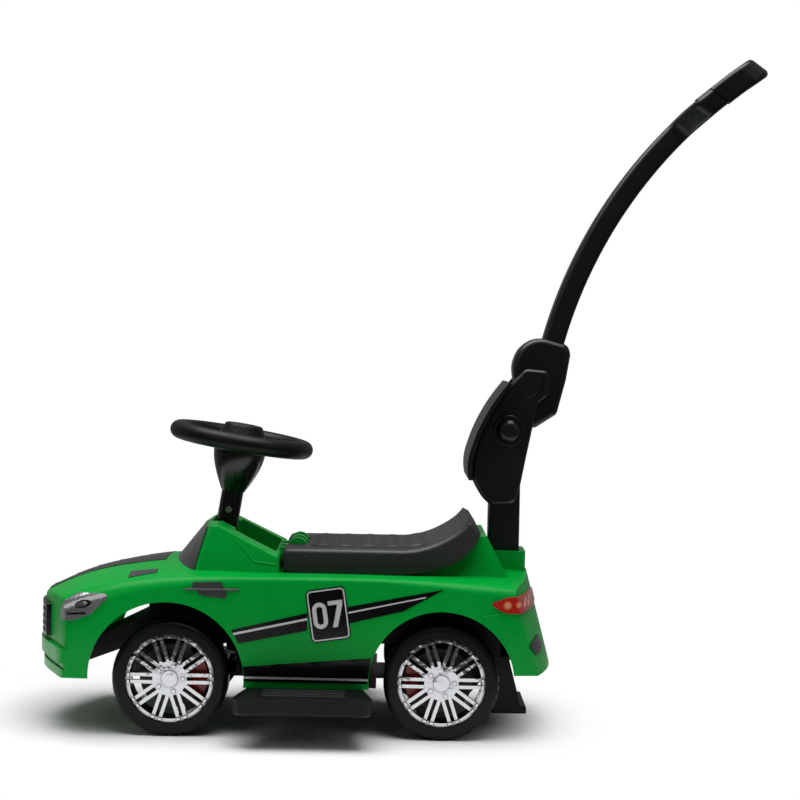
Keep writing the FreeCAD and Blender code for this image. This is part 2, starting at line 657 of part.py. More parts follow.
# Lamp and vent outlines as shares of the length from nose to tail and of the deck height.
HEADLIGHT_SHARES = (
    (0.064, 0.712, 0.006), (0.067, 0.757, 0.006), (0.075, 0.830, 0.010), (0.102, 0.880, 0.012),
    (0.166, 0.880, 0.006), (0.152, 0.836, 0.012), (0.126, 0.752, 0.012), (0.092, 0.712, 0.010),
)
TAIL_LIGHT_SHARES = (
    (0.870, 0.862, 0.004), (0.906, 0.902, 0.010), (0.960, 0.908, 0.008), (0.974, 0.888, 0.006),
    (0.964, 0.824, 0.008), (0.930, 0.802, 0.010), (0.905, 0.803, 0.010), (0.891, 0.818, 0.006),
)
VENT_SHARES = (
    (0.311, 0.960, 0.004), (0.369, 0.965, 0.008), (0.382, 0.862, 0.004), (0.330, 0.880, 0.016),
)
REFLECTOR_SHARES = (
    (0.946, 0.601, 0.003), (0.968, 0.643, 0.004), (0.979, 0.562, 0.003), (0.965, 0.530, 0.003),
)
BONNET_VENT_SHARES = ((0.190, 0.640), (0.190, 0.820), (0.243, 0.780), (0.243, 0.680))


def on_side(shares):
    """A prism reaching out from the car's left through a side outline."""
    length = mm(TAIL) - mm(NOSE)
    high = mm("deck_height")
    corners = [(mm(NOSE) + a * length, b * high, c * length) for a, b, c in shares]
    return side_prism(corners, mm("-body_half_width") * 2, mm("-body_half_width / 3"))


lamp_skin = skin(mm("lamp_proud"))
both("headlight", lamp_skin.common(on_side(HEADLIGHT_SHARES)))
both("tail_light", lamp_skin.common(on_side(TAIL_LIGHT_SHARES)))
trim_skin = skin(mm("trim_proud"))
left_vent = solid(trim_skin.common(on_side(VENT_SHARES)))
right_vent = solid(mirrored(left_vent.Shape))
done("side_vents", group(left_vent, right_vent))
left_reflector = solid(trim_skin.common(on_side(REFLECTOR_SHARES)))
right_reflector = solid(mirrored(left_reflector.Shape))
done("rear_reflectors", group(left_reflector, right_reflector))

vent_corners = [V(mm(NOSE) + a * (mm(TAIL) - mm(NOSE)), -b * mm("body_half_width"), mm("deck_height / 2"))
                for a, b in BONNET_VENT_SHARES]
vent_prism = prism(Part.makePolygon(vent_corners + vent_corners[:1]), V(0, 0, mm("deck_height")))
left_bonnet_vent = solid(trim_skin.common(vent_prism))
right_bonnet_vent = solid(mirrored(left_bonnet_vent.Shape))
done("bonnet_vents", group(left_bonnet_vent, right_bonnet_vent))


def make_grille():
    """The bowed grille plate with level slots."""
    gap = mm("skin_gap")
    step = mm("nose_step")
    low = mm("grille_low")
    high = mm("grille_high")
    plate = nose_slab(step, low, high, mm("grille_proud")).cut(nose_slab(step, low, high, gap))
    half = mm("grille_half")
    window = box_shape(mm(NOSE) - mm("overrun"), mm(NOSE) + mm("nose_sweep"), -half, half, low, high)
    plate = plate.common(window)
    pitch = 2 * mm("grille_slot")
    rib = mm("grille_slot")
    slots = []
    for row in range(int((high - low - rib) / pitch)):
        foot = low + rib + row * pitch
        for side in (-1, 1):
            y0, y1 = sorted((side * rib / 2, side * (half - rib)))
            slots.append(box_shape(mm(NOSE) - mm("overrun"), mm(NOSE) + mm("nose_sweep"), y0, y1, foot,
                                   foot + rib))
    backing = nose_slab(step, low, high, mm("grille_proud / 3"))
    return plate.cut(Part.makeCompound(slots).cut(backing))


done("grille", solid(make_grille()))

WINDSCREEN_SHARES = ((-0.4, 0.12), (1.02, 0.12), (1.36, 0.93), (-0.4, 0.93))


def make_windscreen():
    """The dark wrap-round windscreen panel on the cowl's front."""
    run = mm("cowl_foot_sweep")
    rise = mm("cowl_height - cowl_foot")
    corners = [(mm("-cowl_foot_x") + a * run, mm("cowl_foot") + b * rise, 0) for a, b in WINDSCREEN_SHARES]
    window = side_prism(corners, mm("-body_half_width"), mm("body_half_width"))
    layer = cowl(mm("trim_proud")).cut(cowl(mm("trim_gap")))
    return layer.common(window).cut(bare_skin)


done("windscreen_panel", solid(make_windscreen()))

# Storage tub that hangs in the deck opening under the seat.
gap_in = "(tub_half - fit_gap)"
tub_outer = block("tub_front_x + fit_gap", "tub_back_x - fit_gap", f"-{gap_in}", gap_in, "tub_floor",
                  "deck_height")
tub_flange = block("tub_front_x - tub_flange + fit_gap", "seat_bend_x - fit_gap",
                   "-(tub_half + tub_flange - fit_gap)",
                   "tub_half + tub_flange - fit_gap", "deck_height - tub_flange_thick + skin_gap",
                   "deck_height")
tub_inner = block("tub_front_x + fit_gap + tub_wall", "tub_back_x - fit_gap - tub_wall",
                  f"-({gap_in} - tub_wall)",
                  f"{gap_in} - tub_wall", "tub_floor + tub_wall", "deck_height + overrun")
done("storage_tub", cut(fuse(tub_outer, tub_flange), tub_inner))


# Seat lid with its quilted top and hinge knuckles.
def seat_profile(y):
    """The closed side outline of the seat."""
    low = mm("deck_height + fit_gap")
    base, start, end = seat_curve(-mm("fit_gap"), y)
    top = mm("seat_top")
    rise_start = V(start.x, y, top)
    crest = V(mm("seat_crest_x"), y, mm("seat_crest"))
    upper = curve(SEAT_TOP_SHARES, rise_start, crest)
    x = mm("-seat_front_x")
    bend = mm("seat_nose_round")
    reach = mm("hinge_height") - low
    foot_z = mm("hinge_height") - math.sqrt(reach ** 2 - (mm("seat_front_x") - mm("hinge_x")) ** 2)
    ease = bend * (1 - math.cos(math.pi / 4))
    axis_x = mm("-hinge_x")
    swing = math.atan2(mm("hinge_height") - foot_z, axis_x - x)
    mid_angle = (swing + math.pi / 2) / 2
    mid = V(axis_x - reach * math.cos(mid_angle), y, mm("hinge_height") - reach * math.sin(mid_angle))
    back_top = V(mm("(seat_back_x + seat_crest_x) / 2"), y, mm("seat_crest - seat_wall"))
    return Part.Wire([
        Part.Arc(V(x, y, foot_z), mid, V(axis_x, y, low)).toShape(),
        Part.LineSegment(V(axis_x, y, low), start).toShape(),
        base,
        Part.LineSegment(end, back_top).toShape(),
        Part.LineSegment(back_top, crest).toShape(),
        upper,
        Part.LineSegment(rise_start, V(x + bend, y, top)).toShape(),
        Part.Arc(V(x + bend, y, top), V(x + ease, y, top - ease), V(x, y, top - bend)).toShape(),
        Part.LineSegment(V(x, y, top - bend), V(x, y, foot_z)).toShape(),
    ])


def quilt_grooves():
    """Crossing slanted grooves inside a rounded field on the seat's flat top."""
    x0 = mm("quilt_front_x")
    x1 = mm("quilt_back_x")
    half = mm("quilt_half")
    top = mm("seat_top")
    depth = mm("quilt_depth")
    corner = mm("quilt_corner")
    field = prism(round_wire([(V(x0, -half, top - depth), corner), (V(x1, -half, top - depth), corner),
                              (V(x1, half, top - depth), corner), (V(x0, half, top - depth), corner)]),
                  V(0, 0, 2 * depth))
    pitch = mm("quilt_pitch")
    reach = (x1 - x0) + 2 * half
    groove = Part.makePolygon([V(0, 0, -depth), V(mm("quilt_width / 2"), 0, depth),
                               V(mm("-quilt_width / 2"), 0, depth),
                               V(0, 0, -depth)])
    bars = []
    for turn in (-45, 45):
        bar = prism(groove, V(0, 2 * reach, 0))
        bar.translate(V(0, -reach, top))
        bar.rotate(V(0, 0, 0), V(0, 0, 1), turn)
        count = int(reach / pitch) + 1
        for i in range(-count, count + 1):
            copy = bar.copy()
            copy.translate(V((x0 + x1) / 2 + i * pitch, 0, 0))
            bars.append(copy)
    return Part.makeCompound(bars).common(field)


def make_seat():
    """The seat lid: a moulded shell open underneath."""
    half = mm("seat_half")
    form = prism(seat_profile(-half), V(0, 2 * half, 0))
    top = mm("seat_top")
    bend = mm("seat_nose_round")
    front = mm("-seat_front_x")

    def upper_side(edge):
        middle = edge.CenterOfMass
        return near(abs(middle.y), half) and middle.z > top - bend and middle.x > front
    form = rounded_shape(form, mm("seat_round"), upper_side)
    wall = mm("seat_wall")
    inner = half - 2 * wall
    low = mm("deck_height - overrun")
    rear = mm("seat_bend_x")
    lean = mm("seat_back_x - seat_bend_x")
    rise = mm("seat_back_height - deck_height")
    hollow = side_prism([
        (mm("-hinge_x + roll_radius + 2 * seat_wall"), low, 0),
        (mm("-hinge_x + roll_radius + 2 * seat_wall"), top - wall, 0),
        (rear, top - wall, 0), (rear + lean * SEAT_CURVE_SHARES[2][0], top - wall + rise / 9, 0),
        (rear + lean * SEAT_CURVE_SHARES[2][0], low, 0),
    ], -inner, inner)
    clear = mm("swing_gap")
    notch = box_shape(front - mm("overrun"), mm("-hinge_x + roll_radius") + clear, mm("-roll_half") - clear,
                      mm("roll_half") + clear, low, top + mm("overrun"))
    form = form.cut(Part.makeCompound([hollow, notch])).cut(quilt_grooves())
    knuckles = []
    x = mm("-hinge_x")
    z = mm("hinge_height")
    radius = mm("knuckle_radius")
    for y0 in (mm("-knuckle_end"), mm("knuckle_start")):
        y1 = y0 + mm("knuckle_end - knuckle_start")
        barrel = Part.makeCylinder(radius, y1 - y0, V(x, y0, z), V(0, 1, 0))
        tongue = box_shape(x, mm("-hinge_x + roll_radius") + 2 * clear, y0, y1, z - radius, top - wall / 2)
        knuckles.append(barrel.fuse(tongue))
    bore = Part.makeCylinder(mm("hinge_pin_radius + run_gap"), 2 * mm("roll_half"),
                             V(x, mm("-roll_half"), z), V(0, 1, 0))
    return form.multiFuse(knuckles).cut(bore)


done("seat_lid", solid(make_seat()))
done("seat_hinge_pin", rod("Y", "hinge_pin_radius", "-roll_half + roll_eye_depth",
                           "roll_half - roll_eye_depth",
                           "-hinge_x", "hinge_height"))

# Under pan: floor, front tower with the sloped strut, rear carriers and the post socket.
floor_low = "(floor_top - floor_thick)"
keel = block("-keel_front_x", "keel_back_x", "-keel_half", "keel_half", floor_low, "floor_top")
floor = block("-floor_front_x", "floor_back_x", "-floor_half", "floor_half", floor_low, "floor_top")
tower = cut(
    block("-tower_front_x", "-tower_back_x", "-keel_half", "keel_half", "floor_top - skin_gap",
          "tower_top"),
    block("-tower_front_x + tower_wall", "-tower_back_x - tower_wall", "-keel_half + tower_wall",
          "keel_half - tower_wall", "floor_top - overrun", "tower_top - tower_wall"),
    block(f"{FRONT} - beam_half - swing_gap", "-tower_back_x - tower_wall", "-body_half_width",
          "body_half_width",
          "floor_top - overrun", "tower_window"))
strut = solid(side_prism([
    (mm("-tower_front_x + skin_gap"), mm("strut_root_high"), 0),
    (mm("-tower_front_x + skin_gap"), mm("strut_root_low"), 0),
    (mm("-strut_x"), mm("strut_low"), 0), (mm("-strut_x"), mm("strut_high"), 0),
], mm("-keel_half"), mm("keel_half")))
rear_low = "(rear_floor - floor_thick)"
rear_plate = block("keel_back_x - floor_thick", "rear_floor_back_x", "-rear_floor_half",
                   "rear_floor_half", rear_low, "rear_floor")
rear_wall = block("keel_back_x - floor_thick", "keel_back_x", "-keel_half", "keel_half", floor_low,
                  "rear_floor")
socket_deep = "(post_depth / 2 + fit_gap + socket_wall)"
socket_wide = "(post_half + fit_gap + socket_wall)"
socket = block(f"post_x - {socket_deep}", f"post_x + {socket_deep}", f"-{socket_wide}", socket_wide,
               rear_low, "socket_top")
socket_bore = block("post_x - post_depth / 2 - fit_gap", "post_x + post_depth / 2 + fit_gap",
                    "-post_half - fit_gap",
                    "post_half + fit_gap", "post_foot - skin_gap", "socket_top + overrun")
wells = [block("tub_back_x + swing_gap", "well_back_x", low, high, "wheel_radius", "well_top")
         for low, high in (
    ("-rear_floor_half", "floor_thick - rear_floor_half"),
    ("rear_floor_half - floor_thick", "rear_floor_half"))]
carriers = []
for low, high in ((f"-{STUB_END}", "-carrier_start"), ("carrier_start", STUB_END)):
    carriers.append(block(f"{REAR} - carrier_half", f"{REAR} + carrier_half", low, high, floor_low,
                          "wheel_radius + carrier_half"))
brackets = []
for low, high in ((f"-{STUB_END}", f"bracket_thick - {STUB_END}"),
                  (f"{STUB_END} - bracket_thick", STUB_END)):
    brackets.append(block(f"{REAR} - caliper_radius + caliper_band", REAR, low, high,
                          "wheel_radius - bracket_half", "wheel_radius + bracket_half"))
axle_bore = rod("Y", "axle_radius + skin_gap", "-body_half_width", "body_half_width", REAR, "wheel_radius")
pan_pilots = []
for x in ("-boss_x", "boss_x"):
    for y in ("-boss_y", "boss_y"):
        pan_pilots.append(rod("Z", "screw_shank + skin_gap", "floor_top - 2 * floor_thick",
                              "floor_top + overrun", x, y))
for x in ("-foot_screw_x", "foot_screw_x"):
    for y in ("-foot_screw_y", "foot_screw_y"):
        pan_pilots.append(rod("Z", "screw_shank + skin_gap", "floor_top - 2 * floor_thick",
                              "floor_top + overrun", x, y))
shaft_run = solid(in_column(Part.makeCylinder(mm("shaft_radius + run_gap"), mm("column_foot"),
                                              V(0, 0, mm("-column_foot")))))
shaft_run = cut(shaft_run,
                block("-tower_front_x", "-tower_back_x", "-keel_half", "keel_half", "-column_foot",
                      "tower_window"))
done("under_pan",
     cut(fuse(keel, floor, tower, strut, rear_plate, rear_wall, socket, *wells, *carriers, *brackets),
                      socket_bore, axle_bore, shaft_run, *pan_pilots))

# Wheels. Each is built with its outer face on the plane Y = 0 and its inside towards +Y.
rim_radius = "(wheel_radius - tyre_wall)"
tyre, roles = body_with("tyre_body")
tyre_ring = feature(tyre, "Revolution", sketch_on(tyre, roles["XY_Plane"], [[
    (rim_radius, "0"), ("wheel_radius", "0"), ("wheel_radius", "tyre_width"), (rim_radius, "tyre_width")]]),
    ReferenceAxis=(roles["Y_Axis"], [""]), Angle=360)
rounded(tyre, tyre_ring, "tyre_shoulder", lambda edge: near(edge.BoundBox.XMax, mm("wheel_radius"))
        and near(edge.BoundBox.YLength, 0))
notch_in = "(wheel_radius - tread_depth)"
notch_out = "(wheel_radius + overrun)"
notches = feature(tyre, "Pocket", sketch_on(tyre, roles["XY_Plane"], [
    [(notch_in, "-overrun"), (notch_out, "-overrun"), (notch_out, "tread_reach"),
     (notch_in, "tread_reach")],
    [(notch_in, "tyre_width - tread_reach"), (notch_out, "tyre_width - tread_reach"),
     (notch_out, "tyre_width + overrun"),
     (notch_in, "tyre_width + overrun")]]), Length="tread_gap", SideType="Symmetric")
polar(tyre, notches, roles["Y_Axis"], "tread_count")

rim, roles = body_with("rim_body")
seat_radius = f"({rim_radius} - skin_gap)"
feature(rim, "Revolution", sketch_on(rim, roles["XY_Plane"], [[
    (f"{seat_radius} - rim_lip", "rim_inset"), (seat_radius, "rim_inset"), (seat_radius, "rim_depth"),
    (f"{seat_radius} - rim_wall", "rim_depth"), (f"{seat_radius} - rim_wall", "rim_inset + rim_lip_thick"),
    (f"{seat_radius} - rim_lip", "rim_inset + rim_lip_thick")]]), ReferenceAxis=(roles["Y_Axis"], [""]),
    Angle=360)
spoke_in = "(web_radius - spoke_width)"
spoke_out = f"({seat_radius} - rim_lip / 2)"
spoke_low = "(spoke_split / 2 - spoke_width / 2)"
spoke_high = "(spoke_split / 2 + spoke_width / 2)"
spokes = feature(rim, "Pad", sketch_on(rim, roles["XZ_Plane"], [
    [(spoke_in, spoke_low), (spoke_out, spoke_low), (spoke_out, spoke_high), (spoke_in, spoke_high)],
    [(spoke_in, f"-{spoke_high}"), (spoke_out, f"-{spoke_high}"), (spoke_out, f"-{spoke_low}"),
     (spoke_in, f"-{spoke_low}")]]),
    Length="spoke_inset + spoke_thick", Reversed=True)
polar(rim, spokes, roles["Y_Axis"], "spoke_count")
feature(rim, "Groove", sketch_on(rim, roles["XY_Plane"], [[
    ("0", "-overrun"), (f"{seat_radius} - rim_lip", "-overrun"), (f"{seat_radius} - rim_lip", "rim_inset"),
    ("web_radius", "spoke_inset"), ("0", "spoke_inset")]]), ReferenceAxis=(roles["Y_Axis"], [""]),
    Angle=360)
feature(rim, "Revolution", sketch_on(rim, roles["XY_Plane"], [[
    ("0", "spoke_inset - cap_thick"), ("cap_radius", "spoke_inset - cap_thick"),
    ("cap_radius", "spoke_inset"),
    ("web_radius", "spoke_inset"), ("web_radius", "spoke_inset + spoke_thick"),
    ("hub_radius", "spoke_inset + spoke_thick"),
    ("hub_radius", "hub_end"), ("axle_radius + run_gap", "hub_end"),
    ("axle_radius + run_gap", "axle_tip - fit_gap"),
    ("0", "axle_tip - fit_gap")]]), ReferenceAxis=(roles["Y_Axis"], [""]), Angle=360)
lugs = feature(rim, "Pad", sketch_on(rim, roles["XZ_Plane"], [[
    ("lug_circle - lug_radius", "-lug_radius / 2"), ("lug_circle", "-lug_radius"),
    ("lug_circle + lug_radius", "-lug_radius / 2"),
    ("lug_circle + lug_radius", "lug_radius / 2"), ("lug_circle", "lug_radius"),
    ("lug_circle - lug_radius", "lug_radius / 2")]]),
    Length="spoke_inset + lug_proud", Length2="lug_proud - spoke_inset", Reversed=True,
    SideType="Two sides")
polar(rim, lugs, roles["Y_Axis"], "lug_count")

disc, roles = body_with("disc_body")
feature(disc, "Revolution", sketch_on(disc, roles["XY_Plane"], [[
    ("hub_radius + skin_gap", "disc_place"), ("disc_radius", "disc_place"),
    ("disc_radius", "disc_place + disc_thick"),
    ("hub_radius + skin_gap", "disc_place + disc_thick")]]), ReferenceAxis=(roles["Y_Axis"], [""]),
    Angle=360)

caliper, roles = body_with("caliper_body")
caliper_jaw = "(caliper_face + caliper_lip)"
caliper_back = "(disc_place + disc_thick + swing_gap)"
caliper_roof = "(caliper_radius - caliper_band)"
caliper_end = f"({HUB_STOP} - skin_gap)"
feature(caliper, "Revolution", sketch_on(caliper, roles["XY_Plane"], [[
    ("caliper_low", "caliper_face"), ("caliper_radius", "caliper_face"), ("caliper_radius", caliper_end),
    ("caliper_low", caliper_end), ("caliper_low", caliper_back), (caliper_roof, caliper_back),
    (caliper_roof, caliper_jaw), ("caliper_low", caliper_jaw)]]), ReferenceAxis=(roles["Y_Axis"], [""]),
    Angle="caliper_sweep", Midplane=True)

FACING = {"left": FreeCAD.Rotation(), "right": FreeCAD.Rotation(V(0, 0, 1), 180)}
SIGN = {"left": -1, "right": 1}
masters = {name: solid(source.Shape.copy())
           for name, source in (("tyre", tyre), ("rim", rim), ("brake_disc", disc))}
for end, axle in (("front", mm(FRONT)), ("rear", mm(REAR))):
    for side in ("left", "right"):
        spot = FreeCAD.Placement(V(axle, SIGN[side] * mm("wheel_face"), mm("wheel_radius")), FACING[side])
        for name, master in masters.items():
            copied(f"{end}_{side}_{name}", master, spot)
caliper_master = solid(caliper.Shape.copy())
quarter = {("front", "left"): 0, ("front", "right"): 180, ("rear", "left"): 180, ("rear", "right"): 0}
rear_calipers = []
for (end, side), turn in quarter.items():
    axle = mm(FRONT) if end == "front" else mm(REAR)
    spin = FACING[side].multiply(FreeCAD.Rotation(V(0, 1, 0), turn))
    spot = FreeCAD.Placement(V(axle, SIGN[side] * mm("wheel_face"), mm("wheel_radius")), spin)
    if end == "front":
        copied(f"front_caliper_{side}", caliper_master, spot)
    else:
        rear_calipers.append(solid(caliper_master.Shape.copy()))
        rear_calipers[-1].Placement = spot
done("rear_calipers", group(*rear_calipers))
done("rear_axle", rod("Y", "axle_radius", "-wheel_face + axle_tip", "wheel_face - axle_tip", REAR,
                      "wheel_radius"))

# Front axle: beam with forked ends, kingpins, knuckles, stub axles and the tie rod.
ear_top = "(wheel_radius + barrel_half + fit_gap)"
ear_low = "(wheel_radius - barrel_half - fit_gap)"
web = block(f"{FRONT} - beam_half", f"{FRONT} + beam_half", "-beam_reach", "beam_reach",
            "floor_top + skin_gap", "wheel_radius + beam_top")
beam_parts = [web]
pins = []
beam_holes = []
for sign in ("-", ""):
    y = f"({sign}kingpin_y)"
    inner = f"({sign}(beam_reach - beam_cheek))"
    faces = [inner, f"({sign}beam_reach)"]
    faces = faces[::-1] if sign else faces
    beam_parts.append(block(f"{FRONT} - beam_half", f"{FRONT} + beam_half", *faces,
                            f"{ear_low} - ear_thick", f"{ear_top} + ear_thick"))
    arms = [f"({sign}beam_reach)", y]
    arms = arms[::-1] if sign else arms
    for low in (f"{ear_low} - ear_thick", ear_top):
        beam_parts.append(block(f"{FRONT} - beam_half", f"{FRONT} + beam_half", *arms, low,
                                f"{low} + ear_thick"))
        beam_parts.append(rod("Z", "beam_half", low, f"{low} + ear_thick", FRONT, y))
    beam_holes.append(rod("Z", "kingpin_radius + skin_gap", f"{ear_low} - ear_thick - overrun",
                          f"{ear_top} + ear_thick + overrun", FRONT, y))
    shank = rod("Z", "kingpin_radius", f"{ear_low} - ear_thick - kingpin_head_thick",
                f"{ear_top} + ear_thick + skin_gap", FRONT, y)
    head = rod("Z", "kingpin_head", f"{ear_top} + ear_thick + skin_gap",
               f"{ear_top} + ear_thick + kingpin_head_thick", FRONT, y)
    pins.append(fuse(shank, head))
done("front_axle_beam", cut(fuse(*beam_parts), *beam_holes))
done("kingpins", group(*pins))

arm_x = f"({FRONT} + arm_length)"
arm_low = "(wheel_radius - barrel_half)"
tie_low = f"({arm_low} + arm_thick + tie_lift)"
for sign, side in (("-", "left"), ("", "right")):
    y = f"({sign}kingpin_y)"
    barrel = rod("Z", "barrel_radius", arm_low, "wheel_radius + barrel_half", FRONT, y)
    ends = [y, f"({sign}{STUB_END})"]
    ends = ends[::-1] if sign else ends
    stub = rod("Y", "stub_radius", *ends, FRONT, "wheel_radius")
    arm = block(FRONT, arm_x, f"{y} - arm_half", f"{y} + arm_half", arm_low, f"{arm_low} + arm_thick")
    tip = rod("Z", "arm_half", arm_low, f"{arm_low} + arm_thick", arm_x, y)
    pin = rod("Z", "arm_pin_radius", arm_low, f"{tie_low} + tie_thick + tie_lift", arm_x, y)
    plate = [f"({sign}{STUB_END})", f"({sign}({STUB_END} - bracket_thick))"]
    plate = plate if sign else plate[::-1]
    bracket = block(FRONT, f"{FRONT} + caliper_radius - caliper_band", *plate,
                    "wheel_radius - bracket_half", "wheel_radius + bracket_half")
    pin_bore = rod("Z", "kingpin_radius + run_gap", f"{arm_low} - overrun",
                   "wheel_radius + barrel_half + overrun", FRONT, y)
    tips = [f"({sign}(wheel_face - axle_tip))", f"({sign}(kingpin_y + barrel_radius))"]
    tips = tips if sign else tips[::-1]
    axle_hole = rod("Y", "axle_radius + skin_gap", *tips, FRONT, "wheel_radius")
    done(f"knuckle_{side}", cut(fuse(barrel, stub, arm, tip, pin, bracket), pin_bore, axle_hole))
    done(f"stub_axle_{side}", rod("Y", "axle_radius", *tips, FRONT, "wheel_radius"))

crank_drop = f"(column_foot - arm_length * sin(column_rake) - {tie_low})"
crank_x = f"(-column_x + arm_length * cos(column_rake) - ({crank_drop} - tie_thick / 2) * tan(column_rake))"
tie_bar = block(f"{arm_x} - tie_half", f"{arm_x} + tie_half", "-kingpin_y", "kingpin_y", tie_low,
                f"{tie_low} + tie_thick")
tie_tab = block(arm_x, f"{crank_x} + crank_pin_radius + tie_slot_slack + tie_half", "-tie_tab_half",
                "tie_tab_half", tie_low, f"{tie_low} + tie_thick")
tie_eyes = [rod("Z", "tie_half", tie_low, f"{tie_low} + tie_thick", arm_x, y)
            for y in ("-kingpin_y", "kingpin_y")]
tie_holes = [
    rod("Z", "arm_pin_radius + run_gap", f"{tie_low} - overrun", f"{tie_low} + tie_thick + overrun",
        arm_x, "-kingpin_y"),
    rod("Z", "arm_pin_radius + tie_hole_slack", f"{tie_low} - overrun",
        f"{tie_low} + tie_thick + overrun", arm_x, "kingpin_y"),
    rod("Z", "crank_pin_radius + tie_slot_slack", f"{tie_low} - overrun",
        f"{tie_low} + tie_thick + overrun", crank_x, "0"),
]
done("tie_rod", cut(fuse(tie_bar, tie_tab, *tie_eyes), *tie_holes))


# Steering column and wheel, built about the column axis from its foot on the dash.
def raked(label, item):
    """Moves an item built about the column axis onto the car."""
    item.Placement = FreeCAD.Placement(V(), FreeCAD.Rotation(V(0, 1, 0), mm("column_rake")))
    item.setExpression("Placement.Base.x", bound("-column_x"))
    item.setExpression("Placement.Base.z", bound("column_foot"))
    item.setExpression("Placement.Rotation.Angle", bound("column_rake"))
    return done(label, item)


crank_tail = "(arm_length + crank_half) * sin(column_rake)"
drop = f"((column_foot - {crank_tail} - {tie_low} - tie_thick - tie_lift) / cos(column_rake))"
shaft = rod("Z", "shaft_radius", f"-{drop}", "shaft_top", "0", "0")
crank = block("0", "arm_length", "-crank_half", "crank_half", f"-{drop} + tie_lift",
              f"-{drop} + tie_lift + crank_thick")
crank_eyes = [rod("Z", "crank_half", f"-{drop} + tie_lift", f"-{drop} + tie_lift + crank_thick", x, "0")
              for x in ("0", "arm_length")]
crank_pin = rod("Z", "crank_pin_radius", f"-{crank_drop} / cos(column_rake)",
                f"-{drop} + tie_lift + crank_thick", "arm_length", "0")
raked("steering_shaft", fuse(shaft, crank, crank_pin, *crank_eyes))

bush_tube = rod("Z", "bush_radius", "-bush_length", "0", "0", "0")
bush_collar = rod("Z", "column_boss - fit_gap", "skin_gap", "bush_flange", "0", "0")
bush_neck = rod("Z", "bush_radius", "-skin_gap", "bush_flange", "0", "0")
bush_bore = rod("Z", "shaft_radius + run_gap", "-bush_length - overrun", "bush_flange + overrun", "0", "0")
raked("column_bush", cut(fuse(bush_tube, bush_neck, bush_collar), bush_bore))

column_start = "(bush_flange + fit_gap)"
column_end = f"({column_start} + column_length)"
tube = rod("Z", "column_radius", column_start, column_end, "0", "0")
tube_bore = rod("Z", "shaft_radius + skin_gap", "-overrun", f"{column_end} + overrun", "0", "0")
screw_bore = rod("Y", "screw_shank + skin_gap", "-column_radius - overrun", "-shaft_radius", "0",
                 "column_screw_rise")
screw_seat = rod("Y", "screw_head + skin_gap", "-column_radius - overrun",
                 "-column_radius + screw_head_thick / 2", "0", "column_screw_rise")
raked("steering_column", cut(tube, tube_bore, screw_bore, screw_seat))
column_head = rod("Y", "screw_head", "-column_radius - screw_head_thick / 2",
                  "-column_radius + screw_head_thick / 2 - skin_gap", "0", "column_screw_rise")
column_shank = rod("Y", "screw_shank", "-column_radius", "-shaft_radius - skin_gap", "0",
                   "column_screw_rise")
raked("column_screw", fuse(column_head, column_shank))

BELL_SHARES = ((0.45, 0.0), (0.53, 0.10), (0.65, 0.25), (0.77, 0.42), (0.88, 0.60), (0.96, 0.79),
               (1.0, 1.0))


def make_bell():
    """The flared housing under the steering wheel, hollow and open at the top."""
    low = mm(column_end) + mm("skin_gap")
    tall = mm("bell_length")
    big = mm("bell_radius")
    wall = mm("bell_wall")
    bore = mm("shaft_radius + skin_gap")
    line = Part.BSplineCurve()
    line.interpolate([V(a * big, 0, low + b * tall) for a, b in BELL_SHARES])
    inner = Part.BSplineCurve()
    inner.interpolate([V(a * big - wall, 0, low + b * tall) for a, b in BELL_SHARES[1:]])
    start = V(BELL_SHARES[0][0] * big, 0, low)
    end = V(big, 0, low + tall)
    inner_end = V(big - wall, 0, low + tall)
    floor_z = low + BELL_SHARES[1][1] * tall
    inner_start = V(BELL_SHARES[1][0] * big - wall, 0, floor_z)
    edges = [line.toShape(), Part.LineSegment(end, inner_end).toShape(), inner.toShape(),
             Part.LineSegment(inner_start, V(bore, 0, floor_z)).toShape(),
             Part.LineSegment(V(bore, 0, floor_z), V(bore, 0, low)).toShape(),
             Part.LineSegment(V(bore, 0, low), start).toShape()]
    return Part.Face(Part.Wire(edges)).revolve(V(0, 0, 0), V(0, 0, 1), 360)


bell_top = f"({column_end} + skin_gap + bell_length)"
raked("steering_bell", solid(make_bell()))

ring = doc.addObject("Part::Torus", "ring")
ring.setExpression("Radius1", bound("rim_circle"))
ring.setExpression("Radius2", bound("rim_tube"))
placed(ring, "0", "0", "rim_rise", TURNS["Z"])
hub_low = f"({bell_top} + skin_gap)"
hub_disc = rod("Z", "hub_disc_radius", hub_low, "hub_disc_high", "0", "0")
side_spokes = block("-spoke_half", "spoke_half", "-rim_circle", "rim_circle", "spoke_low", "spoke_high")
rear_spoke = block("0", "rim_circle", "-rear_spoke_half", "rear_spoke_half", "spoke_low", "spoke_high")
horn_well = rod("Z", "horn_radius + fit_gap", "hub_disc_high - horn_seat - horn_travel - fit_gap",
                "hub_disc_high + overrun", "0", "0")
wheel_bore = rod("Z", "shaft_radius + skin_gap", f"{hub_low} - overrun", "shaft_top + skin_gap", "0", "0")
raked("steering_wheel", cut(fuse(ring, hub_disc, side_spokes, rear_spoke), horn_well, wheel_bore))
horn_base = rod("Z", "horn_radius", "hub_disc_high - horn_seat", "hub_disc_high + horn_travel", "0", "0")
horn_body = doc.addObject("Part::Cone", "horn_body")
horn_body.setExpression("Radius1", bound("horn_radius"))
horn_body.setExpression("Radius2", bound("horn_neck"))
horn_body.setExpression("Height", bound("horn_top - hub_disc_high - horn_travel"))
placed(horn_body, "0", "0", "hub_disc_high + horn_travel", TURNS["Z"])
raked("horn_pad", fuse(horn_base, horn_body))
spoke_trims = []
